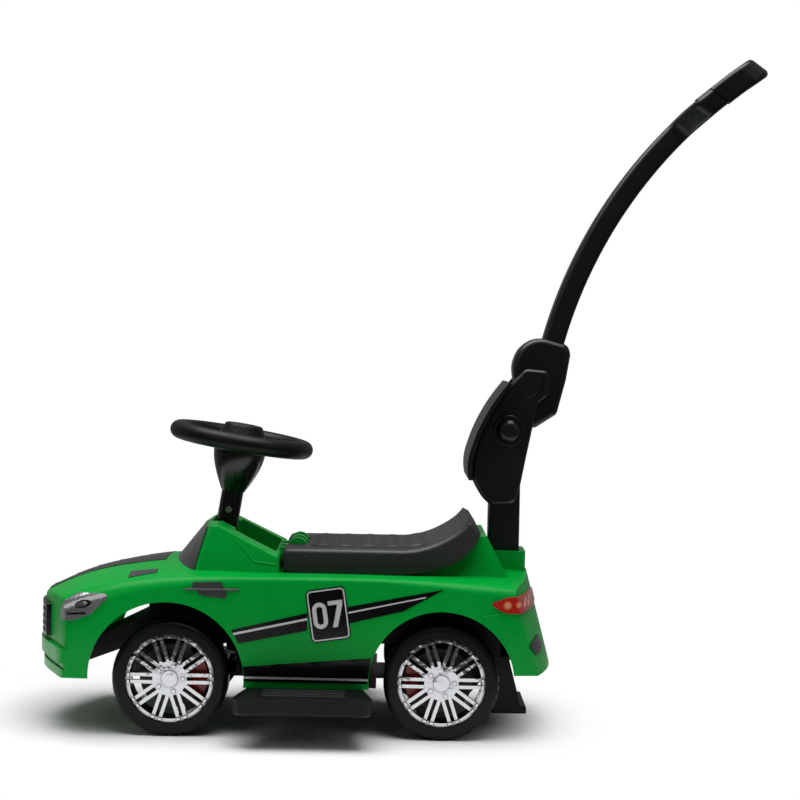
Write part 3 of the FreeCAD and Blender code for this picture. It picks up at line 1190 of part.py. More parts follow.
for low, high in (("-hub_disc_radius - fit_gap - trim_length", "-hub_disc_radius - fit_gap"),
                  ("hub_disc_radius + fit_gap", "hub_disc_radius + fit_gap + trim_length")):
    spoke_trims.append(block("-trim_half", "trim_half", low, high, "spoke_high + skin_gap",
                             "spoke_high + trim_thick"))
raked("spoke_trims", group(*spoke_trims))

# Footrests beside the sills and the rear stop under the tail.
foot_top = f"({floor_low} - skin_gap)"
for side, sign in (("left", "-"), ("right", "")):
    footrest, roles = body_with(f"footrest_{side}_body")
    outline = [("-footrest_front_x + footrest_taper", f"{sign}footrest_in"),
               ("footrest_back_x - footrest_taper", f"{sign}footrest_in"),
               ("footrest_back_x", f"{sign}footrest_out"), ("-footrest_front_x", f"{sign}footrest_out")]
    board = feature(footrest, "Pad", sketch_on(footrest, roles["XY_Plane"], [outline]), Length=foot_top,
                    Length2=f"footrest_thick - {foot_top}",
                    SideType="Two sides")
    corners = rounded(footrest, board, "footrest_round",
                      lambda edge: near(edge.BoundBox.XLength + edge.BoundBox.YLength, 0)
                      and near(abs(edge.CenterOfMass.y), mm("footrest_out")))
    rounded(footrest, corners, "footrest_edge", lambda edge: near(edge.BoundBox.ZLength, 0)
            and abs(edge.CenterOfMass.y) > mm("tread_in") and near(edge.BoundBox.ZMax,
                mm(f"{foot_top} - footrest_thick")))
    raised = [("-footrest_front_x + tread_inset + footrest_taper / 2", f"{sign}tread_in"),
              ("footrest_back_x - tread_inset - footrest_taper / 2", f"{sign}tread_in"),
              ("footrest_back_x - tread_inset", f"{sign}(footrest_out - tread_inset)"),
              ("-footrest_front_x + tread_inset", f"{sign}(footrest_out - tread_inset)")]
    feature(footrest, "Pad", sketch_on(footrest, roles["XY_Plane"], [raised]),
            Length=f"{foot_top} + tread_rise", Length2=f"footrest_edge - {foot_top}",
            SideType="Two sides")
    sink = f"({foot_top} - foot_screw_sink)"
    wells = []
    for x in ("-foot_screw_x", "foot_screw_x"):
        wells.append(rod("Z", "screw_head + fit_gap", f"{foot_top} - footrest_thick - overrun", sink, x,
                         f"{sign}foot_screw_y"))
        wells.append(rod("Z", "screw_shank + skin_gap", f"{foot_top} - footrest_thick",
                         f"{foot_top} + overrun", x, f"{sign}foot_screw_y"))
    done(f"footrest_{side}", cut(footrest, *wells))

stop, roles = body_with("rear_stop_body")
stop_top = f"({rear_low} - skin_gap)"
stop_slope = f"(({stop_top} - stop_foot - stop_foot_thick) * tan(stop_lean))"
feature(stop, "Pad", sketch_on(stop, roles["XZ_Plane"], [[
    ("stop_front_x", stop_top), ("stop_back_x", stop_top),
    (f"stop_back_x + {stop_slope}", "stop_foot + stop_foot_thick"),
    (f"stop_back_x + {stop_slope} + stop_flange", "stop_foot + stop_foot_thick"),
    (f"stop_back_x + {stop_slope} + stop_flange", "stop_foot"),
    ("stop_front_x + stop_flange", "stop_foot"),
    ("stop_front_x + stop_flange / 2", "(stop_foot + rear_floor) / 2")]]),
    Length="2 * stop_half", SideType="Symmetric")
done("rear_stop", stop)

# Handle post, backrest panel, hinge housing halves, pivot, buttons and screws.
post = box_shape(mm("post_x - post_depth / 2"), mm("post_x + post_depth / 2"), mm("-post_half"),
                 mm("post_half"), mm("post_foot"), mm("post_top"))
post = rounded_shape(post, mm("post_round"), lambda edge: near(abs(edge.tangentAt(0).z), 1))
HOUSING_SHARES = (
    (0.310, 0.000, 0.14), (0.165, 0.066, 0.50), (0.050, 0.200, 0.40), (0.030, 0.326, 0.70),
    (0.145, 0.525, 2.00), (0.325, 0.729, 2.40), (0.550, 0.890, 1.00), (0.720, 0.988, 0.10),
    (1.030, 0.975, 0.08), (1.020, 0.800, 0.10), (0.870, 0.735, 0.12), (0.830, 0.590, 1.00),
    (0.755, 0.376, 1.00), (0.680, 0.155, 0.80), (0.600, 0.016, 0.12),
)
housing_corners = shared_points(HOUSING_SHARES, mm("housing_x"), mm("housing_depth"), mm("housing_foot"),
                                mm("housing_height"))
cheek_in = mm("post_half + fit_gap")
cheek_out = mm("post_half + fit_gap + cheek_thick")
pivot = at("pivot_x", "0", "pivot_height")


def y_rod(radius, y0, y1, x, z):
    """A plain round shape along Y."""
    return Part.makeCylinder(radius, y1 - y0, V(x, y0, z), V(0, 1, 0))


def make_housing():
    """The right cheek of the hinge housing with its button well and bezel."""
    cheek = side_prism(housing_corners, cheek_in, cheek_out)
    cheek = rounded_shape(cheek, mm("housing_edge"), lambda edge: near(edge.BoundBox.YMin, cheek_out))
    bezel = y_rod(mm("bezel_radius"), cheek_out - mm("housing_edge"), cheek_out + mm("bezel_proud"),
                  pivot.x, pivot.z)
    well = y_rod(mm("button_radius + fit_gap"), cheek_out - mm("button_depth + button_travel + swing_gap"),
                 cheek_out + mm("overrun"), pivot.x, pivot.z)
    bore = y_rod(mm("pivot_radius + skin_gap"), 0,
                 cheek_out - mm("button_depth + button_travel + swing_gap"), pivot.x, pivot.z)
    return cheek.fuse(bezel).cut(Part.makeCompound([well, bore]))


HANDLE_SCREW_SHARES = (0.25, 0.75)


def handle_screw_spots():
    """Where the cheeks are screwed to the post."""
    return [(mm("post_x"), mm("post_top") - share * mm("post_depth")) for share in HANDLE_SCREW_SHARES]


def screw_y(x, z, face):
    """A screw driven towards -Y whose head sits on a face."""
    head = y_rod(mm("screw_head"), face + mm("skin_gap"), face + mm("screw_head_thick"), x, z)
    shank = y_rod(mm("screw_shank"), face + mm("skin_gap") - mm("cheek_thick") - mm("screw_length") / 2,
                  face + mm("screw_head_thick"), x, z)
    return head.fuse(shank)


def screw_bores():
    """Pilot holes for the handle screws."""
    return Part.makeCompound([y_rod(mm("screw_shank + skin_gap"),
                                    cheek_out - mm("cheek_thick + screw_length"),
                                    cheek_out + mm("overrun"), x, z)
                              for x, z in handle_screw_spots()])


housing = make_housing()
done("hinge_housing_left", solid(mirrored(housing)))
done("hinge_housing_right", solid(housing.cut(screw_bores())))
wall = mm("post_wall")
hollow = box_shape(mm("post_x - post_depth / 2") + wall, mm("post_x + post_depth / 2") - wall,
                   mm("-post_half") + wall, mm("post_half") - wall,
                   mm("post_foot") + wall, mm("post_top + overrun"))
done("handle_post", solid(post.cut(screw_bores()).cut(hollow)))
done("handle_screws", group(*[solid(screw_y(x, z, cheek_out)) for x, z in handle_screw_spots()]))


def make_panel():
    """The curved backrest panel in front of the housing, clear of the lid's swing."""
    half = mm("panel_half")
    gap = mm("skin_gap")
    ahead = [(x - mm("panel_thick") - gap, z, radius) for x, z, radius in housing_corners]
    behind = [(x - gap, z, radius) for x, z, radius in housing_corners]
    form = side_prism(ahead, -half, half).cut(side_prism(behind, -half * 2, half * 2))
    window = box_shape(0, mm("pivot_x"), -half, half, mm("panel_foot"), mm("panel_top"))
    front = mm("post_x - post_depth / 2 - fit_gap")
    room = box_shape(front, mm("post_x"), -cheek_in, cheek_in, 0, mm("post_top"))
    lid_reach = math.hypot(mm("seat_back_x + hinge_x"), mm("seat_back_height - hinge_height"))
    swing = y_rod(lid_reach + mm("lid_gap"), -half * 2, half * 2, mm("-hinge_x"), mm("hinge_height"))
    crescent = form.common(window).cut(Part.makeCompound([room, swing]))
    return max(crescent.Solids, key=lambda item: item.Volume)


done("backrest_panel", solid(make_panel()))
pin_end = "(post_half + fit_gap + cheek_thick - button_depth - button_travel - swing_gap)"
done("pivot_pin", rod("Y", "pivot_radius", f"-{pin_end}", pin_end, "pivot_x", "pivot_height"))
for side, sign in (("left", -1), ("right", 1)):
    body_part = y_rod(mm("button_radius"), cheek_out - mm("button_depth"), cheek_out + mm("button_proud"),
                      pivot.x, pivot.z)
    dome = rounded_shape(body_part, mm("button_dome"),
                         lambda edge: near(edge.BoundBox.YMin, cheek_out + mm("button_proud"))
                         and near(edge.BoundBox.YLength, 0))
    done(f"release_button_{side}", solid(dome if sign > 0 else mirrored(dome)))


# Push bar: a curved band of even thickness, trimmed to its width outline.
def bar_spot(radius, turn):
    """A point of the bar's bend at a radius and at an angle past its start."""
    lean = math.radians(mm("bar_lean"))
    centre = V(mm("bar_x") + mm("bar_bend_radius") * math.cos(lean), 0,
               mm("bar_height") - mm("bar_bend_radius") * math.sin(lean))
    angle = lean + math.radians(turn)
    return centre + V(-math.cos(angle), 0, math.sin(angle)) * radius


def bar_band(thick, first, last, half):
    """The curved band between two angles."""
    inner = mm("bar_bend_radius") - thick / 2
    outer = mm("bar_bend_radius") + thick / 2
    shift = V(0, -half, 0)
    mid = (first + last) / 2
    a, b, c = (bar_spot(outer, turn) + shift for turn in (first, mid, last))
    d, e, f = (bar_spot(inner, turn) + shift for turn in (last, mid, first))
    wire = Part.Wire([Part.Arc(a, b, c).toShape(), Part.LineSegment(c, d).toShape(),
                      Part.Arc(d, e, f).toShape(),
                      Part.LineSegment(f, a).toShape()])
    return prism(wire, V(0, 2 * half, 0))


def chord_frame():
    """The frame along the bar's chord: its X runs up the chord and its Z is square to it."""
    start = bar_spot(mm("bar_bend_radius"), 0)
    run = bar_spot(mm("bar_bend_radius"), mm("bar_sweep")) - start
    return FreeCAD.Placement(start, FreeCAD.Rotation(V(0, 1, 0), math.degrees(math.atan2(-run.z, run.x))))


def chord_length():
    """The straight length from the bar's start to its end."""
    return 2 * mm("bar_bend_radius") * math.sin(math.radians(mm("bar_sweep")) / 2)


def chord_prism(corners):
    """A prism square to the chord from an outline of (along, across, radius) numbers."""
    deep = mm("bar_bend_radius") / 4
    shape = prism(round_wire([(V(u, v, -deep), radius) for u, v, radius in corners]), V(0, 0, 2 * deep))
    shape.Placement = chord_frame().multiply(shape.Placement)
    return shape


ROOT_TURN = -math.degrees(mm("bar_root") / mm("bar_bend_radius"))
END_TURN = mm("bar_sweep") + math.degrees(mm("bar_thick") / mm("bar_bend_radius"))


def loop_outline(grow):
    """The bar's width outline with the loop at its end."""
    half = mm("bar_half") + grow
    wide = mm("loop_half") + grow
    end = chord_length() + grow
    bend = mm("loop_arm")
    return [(mm("-2 * bar_root"), -half, 0), (mm("loop_start"), -half, bend),
            (mm("loop_full"), -wide, bend), (end, -wide, mm("grip_round")),
            (end, wide, mm("grip_round")), (mm("loop_full"), wide, bend), (mm("loop_start"), half, bend),
            (mm("-2 * bar_root"), half, 0)]


def loop_window(shrink):
    """The finger opening inside the loop."""
    wide = mm("loop_half - loop_arm") - shrink
    low = mm("loop_gap_start") + shrink
    high = chord_length() - mm("grip_band") - shrink
    bend = mm("loop_arm / 2")
    return [(low, -wide / 2, bend / 2), (low + bend, -wide, bend), (high, -wide, bend),
            (high, wide, bend), (low + bend, wide, bend), (low, wide / 2, bend / 2)]


def soft_edges(shape, low, high):
    """Rounds the edges along the band and across its width between two places on the chord."""
    back = chord_frame().inverse()

    def wanted(edge):
        across = abs(edge.tangentAt(edge.FirstParameter).y)
        through = edge.Curve.TypeId == "Part::GeomLine" and not near(across, 1)
        return low < back.multVec(edge.CenterOfMass).x < high and not through
    return rounded_shape(shape, mm("bar_edge"), wanted)


def make_bar():
    """The curved bar and the two arms of its loop."""
    wide = mm("loop_half") * 2
    form = bar_band(mm("bar_thick"), ROOT_TURN, END_TURN, wide).common(chord_prism(loop_outline(0)))
    form = form.cut(chord_prism(loop_window(0)))
    start = mm("grip_start")
    far = chord_length() * 2
    form = form.cut(chord_prism([(start, -wide, 0), (far, -wide, 0), (far, wide, 0), (start, wide, 0)]))
    return soft_edges(form, mm("-bar_root / 2"), start - mm("skin_gap"))


def make_grip():
    """The slightly fuller cross-piece that closes the loop."""
    swell = mm("grip_swell")
    wide = mm("loop_half") * 2
    form = bar_band(mm("bar_thick") + 2 * swell, ROOT_TURN, END_TURN,
                    wide).common(chord_prism(loop_outline(swell)))
    form = form.cut(chord_prism(loop_window(swell)))
    start = mm("grip_start + skin_gap")
    far = chord_length() * 2
    form = form.common(chord_prism([(start, -wide, 0), (far, -wide, 0), (far, wide, 0), (start, wide, 0)]))
    return soft_edges(form, start + mm("skin_gap"), far)


done("push_bar", solid(make_bar()))
done("grip", solid(make_grip()))

YOKE_SHARES = (
    (0.03, 0.50, 0.30), (-0.01, 0.69, 0.50), (0.10, 0.885, 0.48), (0.41, 1.015, 0.42), (0.96, 0.925, 0.16),
    (1.00, 0.82, 0.15), (0.93, 0.54, 0.80), (0.78, 0.16, 0.14), (0.40, 0.00, 0.14), (0.06, 0.04, 0.13),
)


def make_yoke():
    """The block that carries the bar, with its pivot lug between the cheeks."""
    half = mm("post_half")
    corners = shared_points(YOKE_SHARES, mm("yoke_x"), mm("yoke_depth"), mm("yoke_foot"), mm("yoke_height"))
    form = side_prism(corners, -half, half)
    form = rounded_shape(form, mm("yoke_edge"), lambda edge: near(abs(edge.CenterOfMass.y), half))
    lug = y_rod(mm("lug_round"), -half, half, pivot.x, pivot.z)
    gap = mm("fit_gap")
    socket_form = bar_band(mm("bar_thick") + 2 * gap, ROOT_TURN - gap, END_TURN, mm("bar_half") + gap)
    bore = y_rod(mm("pivot_radius + run_gap"), -half, half, pivot.x, pivot.z)
    return form.fuse(lug).cut(Part.makeCompound([socket_form, bore]))


done("handle_yoke", solid(make_yoke()))

# Screws that hold the body and the footrests to the pan, all driven from below.
pan_screws = []
under = "(floor_top - floor_thick - skin_gap)"
for along, across, seat_z in (("boss_x", "boss_y", under),
                              ("foot_screw_x", "foot_screw_y",
                               f"({foot_top} - foot_screw_sink - skin_gap)")):
    for x in (f"-{along}", along):
        for y in (f"-{across}", across):
            pan_head = rod("Z", "screw_head", f"{seat_z} - screw_head_thick", seat_z, x, y)
            pan_shank = rod("Z", "screw_shank", f"{seat_z} - screw_head_thick",
                            f"{seat_z} + screw_length", x, y)
            pan_screws.append(fuse(pan_head, pan_shank))
done("underside_screws", group(*pan_screws))

doc.recompute()
for item in doc.Objects:
    bad = [state for state in item.State if state in ("Invalid", "Error")]
    if bad:
        raise RuntimeError(f"{item.Label} did not build: {item.State}")
os.makedirs("parts", exist_ok=True)
for item in pieces:
    shape = item.Shape
    if shape.isNull() or not shape.isValid() or not shape.Solids:
        raise RuntimeError(f"{item.Label} has no valid shape")
    shape.exportStep(f"parts/{item.Label}.step")
    print(f"{item.Label}: {len(shape.Solids)} solids, {shape.Volume / 1000:.1f} cm3")
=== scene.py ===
"""Dresses the push car: finishes, soft edges, foils, lamps, floor, light and camera."""
import json
import logging
import math
from collections.abc import Callable, Sequence
from dataclasses import dataclass
from enum import Enum

import bpy
from mathutils import Matrix, Vector


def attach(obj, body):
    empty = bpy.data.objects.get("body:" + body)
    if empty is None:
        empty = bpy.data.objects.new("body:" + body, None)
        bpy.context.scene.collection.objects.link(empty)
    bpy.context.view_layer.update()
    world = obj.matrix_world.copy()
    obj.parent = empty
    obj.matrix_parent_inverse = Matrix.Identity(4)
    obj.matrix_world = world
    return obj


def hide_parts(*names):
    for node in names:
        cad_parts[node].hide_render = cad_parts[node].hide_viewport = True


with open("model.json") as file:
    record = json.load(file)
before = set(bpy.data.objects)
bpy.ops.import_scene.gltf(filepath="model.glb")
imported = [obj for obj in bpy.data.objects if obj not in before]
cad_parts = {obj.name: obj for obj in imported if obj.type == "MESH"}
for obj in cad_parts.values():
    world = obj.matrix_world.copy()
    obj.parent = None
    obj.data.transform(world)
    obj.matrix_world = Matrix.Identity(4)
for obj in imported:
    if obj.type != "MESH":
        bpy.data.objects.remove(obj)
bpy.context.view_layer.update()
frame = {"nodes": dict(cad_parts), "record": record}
LOG = logging.getLogger("push_car")
MM = 0.001
BODY_OF = {node: body for body, nodes in frame["record"]["behaviour"]["bodies"].items() for node in nodes}
SLOT_OF = {part["node"]: part["material_slot"] for part in frame["record"]["subparts"]}

# Edges sharper than the first angle are rounded or stay crisp, and faces flatter than the second join.
CREASE_DEG = 34.0
FLAT_DEG = 0.05
BEVEL_SEGMENTS = 3
NORMAL_WEIGHT = 50
# Corners nearer than these are one corner, in a CAD mesh and in a cut sheet.
CAD_MERGE_M = 0.00002
SHEET_MERGE_M = 0.00003
# How finely a quarter round and a whole oval are drawn in an outline.
CORNER_STEPS = 5
OVAL_POINTS = 16
# The colour sockets of a Mix node go by number, because its other sockets have the same names.
MIX_FROM, MIX_TO, MIX_RESULT = 6, 7, 2

Pair = tuple[float, float]
Triple = tuple[float, float, float]
# Flat places in mm round a closed outline, and along an open route.
Outline = Sequence[Pair]
Route = Sequence[Pair]
# An oval's middle, width, height and turn in degrees; a box has its corner radius before the turn.
Oval = tuple[Pair, float, float, float]
Box = tuple[Pair, float, float, float, float]


class Side(Enum):
    """A side that foils and lines are laid on; flat places on it are along and up, or along and across."""

    LEFT = "left"
    RIGHT = "right"
    TOP = "top"

    @property
    def axis(self) -> int:
        """The number of the axis that the side faces along."""
        return 2 if self is Side.TOP else 1

    @property
    def out(self) -> int:
        """The sign of the way out along that axis."""
        return -1 if self is Side.LEFT else 1

    @property
    def tilt(self) -> float:
        """The turn about X that makes a flat grid face outwards."""
        return 0.0 if self is Side.TOP else -self.out * math.pi / 2

    def spot(self, pair: Pair, reach: float) -> Vector:
        """The place of a flat pair in mm, at a reach in metres along the axis."""
        if self is Side.TOP:
            return Vector((pair[0] * MM, pair[1] * MM, reach))
        return Vector((pair[0] * MM, self.out * reach, pair[1] * MM))

    def flat(self, spot: Vector) -> Pair:
        """The flat pair in mm of a place."""
        return spot.x / MM, (spot.y if self is Side.TOP else spot.z) / MM

    def outward(self, along: Vector) -> Vector:
        """The way out of a counter-clockwise outline, from a step along it."""
        return Vector((along.y, -along.x, 0)) if self is Side.TOP else Vector((along.z, 0, -along.x))


FLANKS = (Side.LEFT, Side.RIGHT)
# Where foils and rays start along a side's axis: clear of the pieces that they are laid on.
FOIL_START_M = {Side.LEFT: 0.3, Side.RIGHT: 0.3, Side.TOP: 0.4}
RAY_START_M = {Side.LEFT: 1.0, Side.RIGHT: 1.0, Side.TOP: 1.2}


def linear(code: str) -> tuple[float, float, float, float]:
    """Turns an sRGB hex colour into linear red, green, blue and alpha, by the standard's curve.

    Args:
        code: the colour as #RRGGBB.

    Returns:
        Four linear channel values.
    """
    channels = [int(code[i:i + 2], 16) / 255 for i in (1, 3, 5)]
    bright = [c / 12.92 if c <= 0.04045 else ((c + 0.055) / 1.055) ** 2.4 for c in channels]
    return (*bright, 1.0)


def fresh_tree(owner: bpy.types.Material | bpy.types.World) -> bpy.types.NodeTree:
    """The node tree of a material or world, turned on and cleared."""
    owner.use_nodes = True
    owner.node_tree.nodes.clear()
    return owner.node_tree


def add_node(tree: bpy.types.NodeTree, kind: str, settings: dict, inputs: dict) -> bpy.types.Node:
    """Adds a shader node with its settings and links.

    Args:
        tree: the node tree to add to.
        kind: the node's type name.
        settings: attribute names and values.
        inputs: socket names or numbers, with a value or the socket that feeds them.

    Returns:
        The new node.
    """
    node = tree.nodes.new(kind)
    for name, value in settings.items():
        setattr(node, name, value)
    for socket, value in inputs.items():
        if isinstance(value, bpy.types.NodeSocket):
            tree.links.new(value, node.inputs[socket])
        else:
            node.inputs[socket].default_value = value
    return node


@dataclass(frozen=True)
class Finish:
    """The finish of a plastic, film or metal: two near shades in soft patches, a fine grain and a sheen."""

    name: str
    colour: str
    shade: str
    roughness: float
    rough_spread: float = 0.06
    ior: float = 1.49
    metallic: float = 0.0
    coat: float = 0.0
    coat_roughness: float = 0.08
    sheen: float = 0.5
    grain_mm: float = 1.6
    grain_depth: float = 0.05
    grain_detail: float = 2.0
    patch_mm: float = 60.0
    patch_detail: float = 3.0
    patch_roughness: float = 0.55
    patch_span: Pair = (0.3, 0.7)
    # Painted shade: within this reach in mm, ambient occlusion darkens the colour toward a dark grey in
    # hollows.
    painted_shade_mm: float = 0.0
    painted_shade_colour: str = "#141415"
    painted_shade_span: Pair = (0.5, 0.95)
    painted_shade_samples: int = 8

    def material(self) -> bpy.types.Material:
        """The node material of this finish, made once."""
        made = bpy.data.materials.get(self.name)
        if made:
            return made
        made = bpy.data.materials.new(self.name)
        tree = fresh_tree(made)
        spot = add_node(tree, "ShaderNodeTexCoord", {}, {}).outputs["Object"]
        patch = add_node(tree, "ShaderNodeTexNoise", {}, {
            "Vector": spot, "Scale": 1 / (self.patch_mm * MM),
            "Detail": self.patch_detail, "Roughness": self.patch_roughness}).outputs["Fac"]
        rough = add_node(tree, "ShaderNodeMapRange", {}, {
            "Value": patch, "From Min": self.patch_span[0], "From Max": self.patch_span[1],
            "To Min": self.roughness - self.rough_spread, "To Max": self.roughness + self.rough_spread})
        grain = add_node(tree, "ShaderNodeTexNoise", {}, {
            "Vector": spot, "Scale": 1 / (self.grain_mm * MM), "Detail": self.grain_detail})
        bump = add_node(tree, "ShaderNodeBump", {}, {
            "Height": grain.outputs["Fac"], "Strength": self.grain_depth, "Distance": self.grain_mm * MM})
        shader = add_node(tree, "ShaderNodeBsdfPrincipled", {}, {
            "Base Color": self.tint(tree, patch), "Roughness": rough.outputs["Result"],
            "Normal": bump.outputs["Normal"], "IOR": self.ior, "Metallic": self.metallic,
            "Specular IOR Level": self.sheen, "Coat Weight": self.coat,
            "Coat Roughness": self.coat_roughness})
        add_node(tree, "ShaderNodeOutputMaterial", {}, {"Surface": shader.outputs["BSDF"]})
        return made

    def tint(self, tree: bpy.types.NodeTree, patch: bpy.types.NodeSocket) -> bpy.types.NodeSocket:
        """The colour: two shades in soft patches, and painted shade that darkens it in hollows by ambient
        occlusion.

        Args:
            tree: the node tree to add to.
            patch: the share of the main colour, which varies in soft patches.

        Returns:
            The colour's socket.
        """
        tint = add_node(tree, "ShaderNodeMix", {"data_type": "RGBA"}, {
            "Factor": patch, MIX_FROM: linear(self.shade), MIX_TO: linear(self.colour)})
        # Painted shade: the colour darkens toward a dark grey where ambient occlusion finds the surface
        # shut in.
        if self.painted_shade_mm:
            occlusion = add_node(tree, "ShaderNodeAmbientOcclusion", {"samples": self.painted_shade_samples}, {
                "Distance": self.painted_shade_mm * MM})
            unshaded_share = add_node(tree, "ShaderNodeMapRange", {}, {
                "Value": occlusion.outputs["AO"], "From Min": self.painted_shade_span[0],
                "From Max": self.painted_shade_span[1]})
            tint = add_node(tree, "ShaderNodeMix", {"data_type": "RGBA"}, {
                "Factor": unshaded_share.outputs["Result"], MIX_FROM: linear(self.painted_shade_colour),
                MIX_TO: tint.outputs[MIX_RESULT]})
        return tint.outputs[MIX_RESULT]


# Gloss polypropylene of the shell: strong even green with a weak sheen, faintly wavy from the mould.
GREEN = Finish("polypropylene_green_gloss", "#02A43B", "#029C37", 0.28, 0.03,
               sheen=0.1, grain_mm=7.0, grain_depth=0.012)
# Satin polypropylene of floor, tub, footrests, axle parts and steering wheel: near black, with a
# spark-eroded grain that is drawn coarser than the real one so that it shows.
BLACK = Finish("polypropylene_black_satin", "#0B0B0C", "#08080A", 0.42, sheen=0.25, grain_depth=0.09)
# Gloss ABS of steering column, bell, grille and reflectors: deep black with clear highlights.
GLOSS = Finish("abs_black_gloss", "#08080A", "#060607", 0.2, 0.03, ior=1.53, grain_mm=6.0,
               grain_depth=0.01)
# Semi-gloss polypropylene of the push handle: black, highlights soft along the edges.
HANDLE = Finish("polypropylene_black_semigloss", "#111112", "#0D0D0E", 0.34, 0.05,
                grain_mm=1.2, grain_depth=0.02)
# Seat polypropylene: soft black with a broad matte sheen, its etched leather grain drawn coarse to show.
SEAT = Finish("polypropylene_black_leather_grain", "#2C2C2D", "#252526", 0.42, 0.05,
              grain_mm=1.4, grain_depth=0.2)
# Blow-moulded polyethylene wheel skin: black, with a waxy sheen on the shoulders.
TYRE = Finish("polyethylene_black_tyre", "#080808", "#060606", 0.38, 0.06,
              ior=1.51, sheen=0.22, grain_mm=2.2, grain_depth=0.06)
# Vacuum-metallised ABS: bright mirror with faint mould waves, and painted shade that darkens its hollows.
CHROME = Finish("abs_chrome_plated", "#D8D9DC", "#CBCDD0", 0.1, 0.03,
                ior=1.5, metallic=1.0, grain_mm=14.0, grain_depth=0.05, painted_shade_mm=5.0)
# Dark grey polypropylene of the mock brake discs: plain and satin.
DISC = Finish("polypropylene_dark_grey", "#2A2B2C", "#232425", 0.38, grain_depth=0.05)
# Red gloss ABS of the mock calipers: even colour, clear highlights.
RED = Finish("abs_red_gloss", "#A80F14", "#950B10", 0.25, ior=1.53)
# Zinc-plated steel of pins, axles and screws: pale grey metal, slightly dull.
STEEL = Finish("steel_zinc_plated", "#B9BABC", "#A6A8AA", 0.3,
               metallic=1.0, ior=1.5, grain_mm=1.0, grain_depth=0.06)
# Dark grey printed film on windscreen, vents and headlight eyes: smooth, with a clear sheen.
SCREEN = Finish("printed_film_dark_grey", "#434446", "#3B3C3E", 0.24, 0.04,
                ior=1.5, grain_mm=5.0, grain_depth=0.01)
# Black printed foil of stripes, plates and lamp eyes, and the dark of a seam: smooth, little sheen.
FOIL_BLACK = Finish("printed_foil_black", "#0E0D0F", "#0B0A0C", 0.2, 0.03,
                    sheen=0.2, grain_mm=8.0, grain_depth=0.01)
# Silver printed foil: pale grey ink with a faint pearl.
FOIL_SILVER = Finish("printed_foil_silver", "#D8D6D8", "#CFCDCF", 0.32, 0.03,
                     ior=1.5, metallic=0.15, grain_mm=4.0, grain_depth=0.01)
# Red polycarbonate lamp cover: deep colour under a clear gloss.
LAMP_RED = Finish("polycarbonate_red_lamp", "#C4221C", "#A91512", 0.12, 0.03,
                  ior=1.58, coat=0.6, grain_mm=5.0, grain_depth=0.02)
# Amber ring of a tail lamp, under the same gloss.
LAMP_AMBER = Finish("polycarbonate_amber_lamp", "#D9762A", "#C4621C", 0.14, 0.03,
                    ior=1.58, coat=0.6, grain_mm=3.0, grain_depth=0.02)
# Pale red core of a tail lamp, under the same gloss.
LAMP_PINK = Finish("polycarbonate_pale_red_lamp", "#E8A08C", "#D98570", 0.14, 0.03,
                   ior=1.58, coat=0.6, grain_mm=3.0, grain_depth=0.02)
# Silvered headlight reflector behind a clear cover: bright, a little uneven.
LAMP_SILVER = Finish("polycarbonate_silvered_lamp", "#C9CBCC", "#B4B7B9", 0.16, 0.05,
                     ior=1.5, metallic=0.85, coat=0.8, grain_mm=4.0, grain_depth=0.06)
# Silver painted ABS of the steering wheel trims: soft metal sheen.
SILVER = Finish("abs_silver_painted", "#A7A9AC", "#999B9F", 0.28, 0.04,
                ior=1.5, metallic=0.7, grain_mm=2.0, grain_depth=0.03)

# A CAD node, its finish and the rounding of its edges in mm.
Trim = tuple[str, Finish, float]


def select_only(obj: bpy.types.Object) -> None:
    """Leaves one object selected and active, in object mode."""
    if bpy.context.object and bpy.context.object.mode != "OBJECT":
        bpy.ops.object.mode_set(mode="OBJECT")
    bpy.ops.object.select_all(action="DESELECT")
    obj.select_set(True)
    bpy.context.view_layer.objects.active = obj


def apply_modifier(obj: bpy.types.Object, kind: str, settings: dict) -> None:
    """Adds a modifier and applies it.

    Args:
        obj: the piece.
        kind: the modifier's type name.
        settings: attribute names and values.
    """
    select_only(obj)
    modifier = obj.modifiers.new(kind.lower(), kind)
    for name, value in settings.items():
        setattr(modifier, name, value)
    bpy.ops.object.modifier_apply(modifier=modifier.name)


def smooth(obj: bpy.types.Object, angle: float = CREASE_DEG) -> None:
    """Shades a piece smooth but for edges sharper than an angle in degrees."""
    select_only(obj)
    bpy.ops.object.shade_smooth_by_angle(angle=math.radians(angle))


def finish_piece(obj: bpy.types.Object, body: str, slot: str, *finishes: Finish) -> bpy.types.Object:
    """Names a piece's body and finishes.

    Args:
        obj: the piece.
        body: the CAD body that carries it.
        slot: the record's material slot; not used.
        finishes: the finishes, in the order of the material numbers.

    Returns:
        The same piece.
    """
    if obj.data.materials:
        obj.data.materials.clear()
    for finish in finishes:
        obj.data.materials.append(finish.material())
    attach(obj, body)
    LOG.info("%s rides on %s", obj.name, body)
    return obj


def merged_copy(node: str, name: str) -> bpy.types.Object:
    """A copy of a CAD node with its loose triangles joined.

    Args:
        node: the CAD node's name.
        name: the copy's name.

    Returns:
        The copy.
    """
    obj = bpy.data.objects.new(name, frame["nodes"][node].data.copy())
    bpy.context.scene.collection.objects.link(obj)
    select_only(obj)
    bpy.ops.object.mode_set(mode="EDIT")
    bpy.ops.mesh.select_all(action="SELECT")
    bpy.ops.mesh.customdata_custom_splitnormals_clear()
    bpy.ops.mesh.remove_doubles(threshold=CAD_MERGE_M)
    bpy.ops.mesh.dissolve_limited(angle_limit=math.radians(FLAT_DEG))
    bpy.ops.object.mode_set(mode="OBJECT")
    return obj


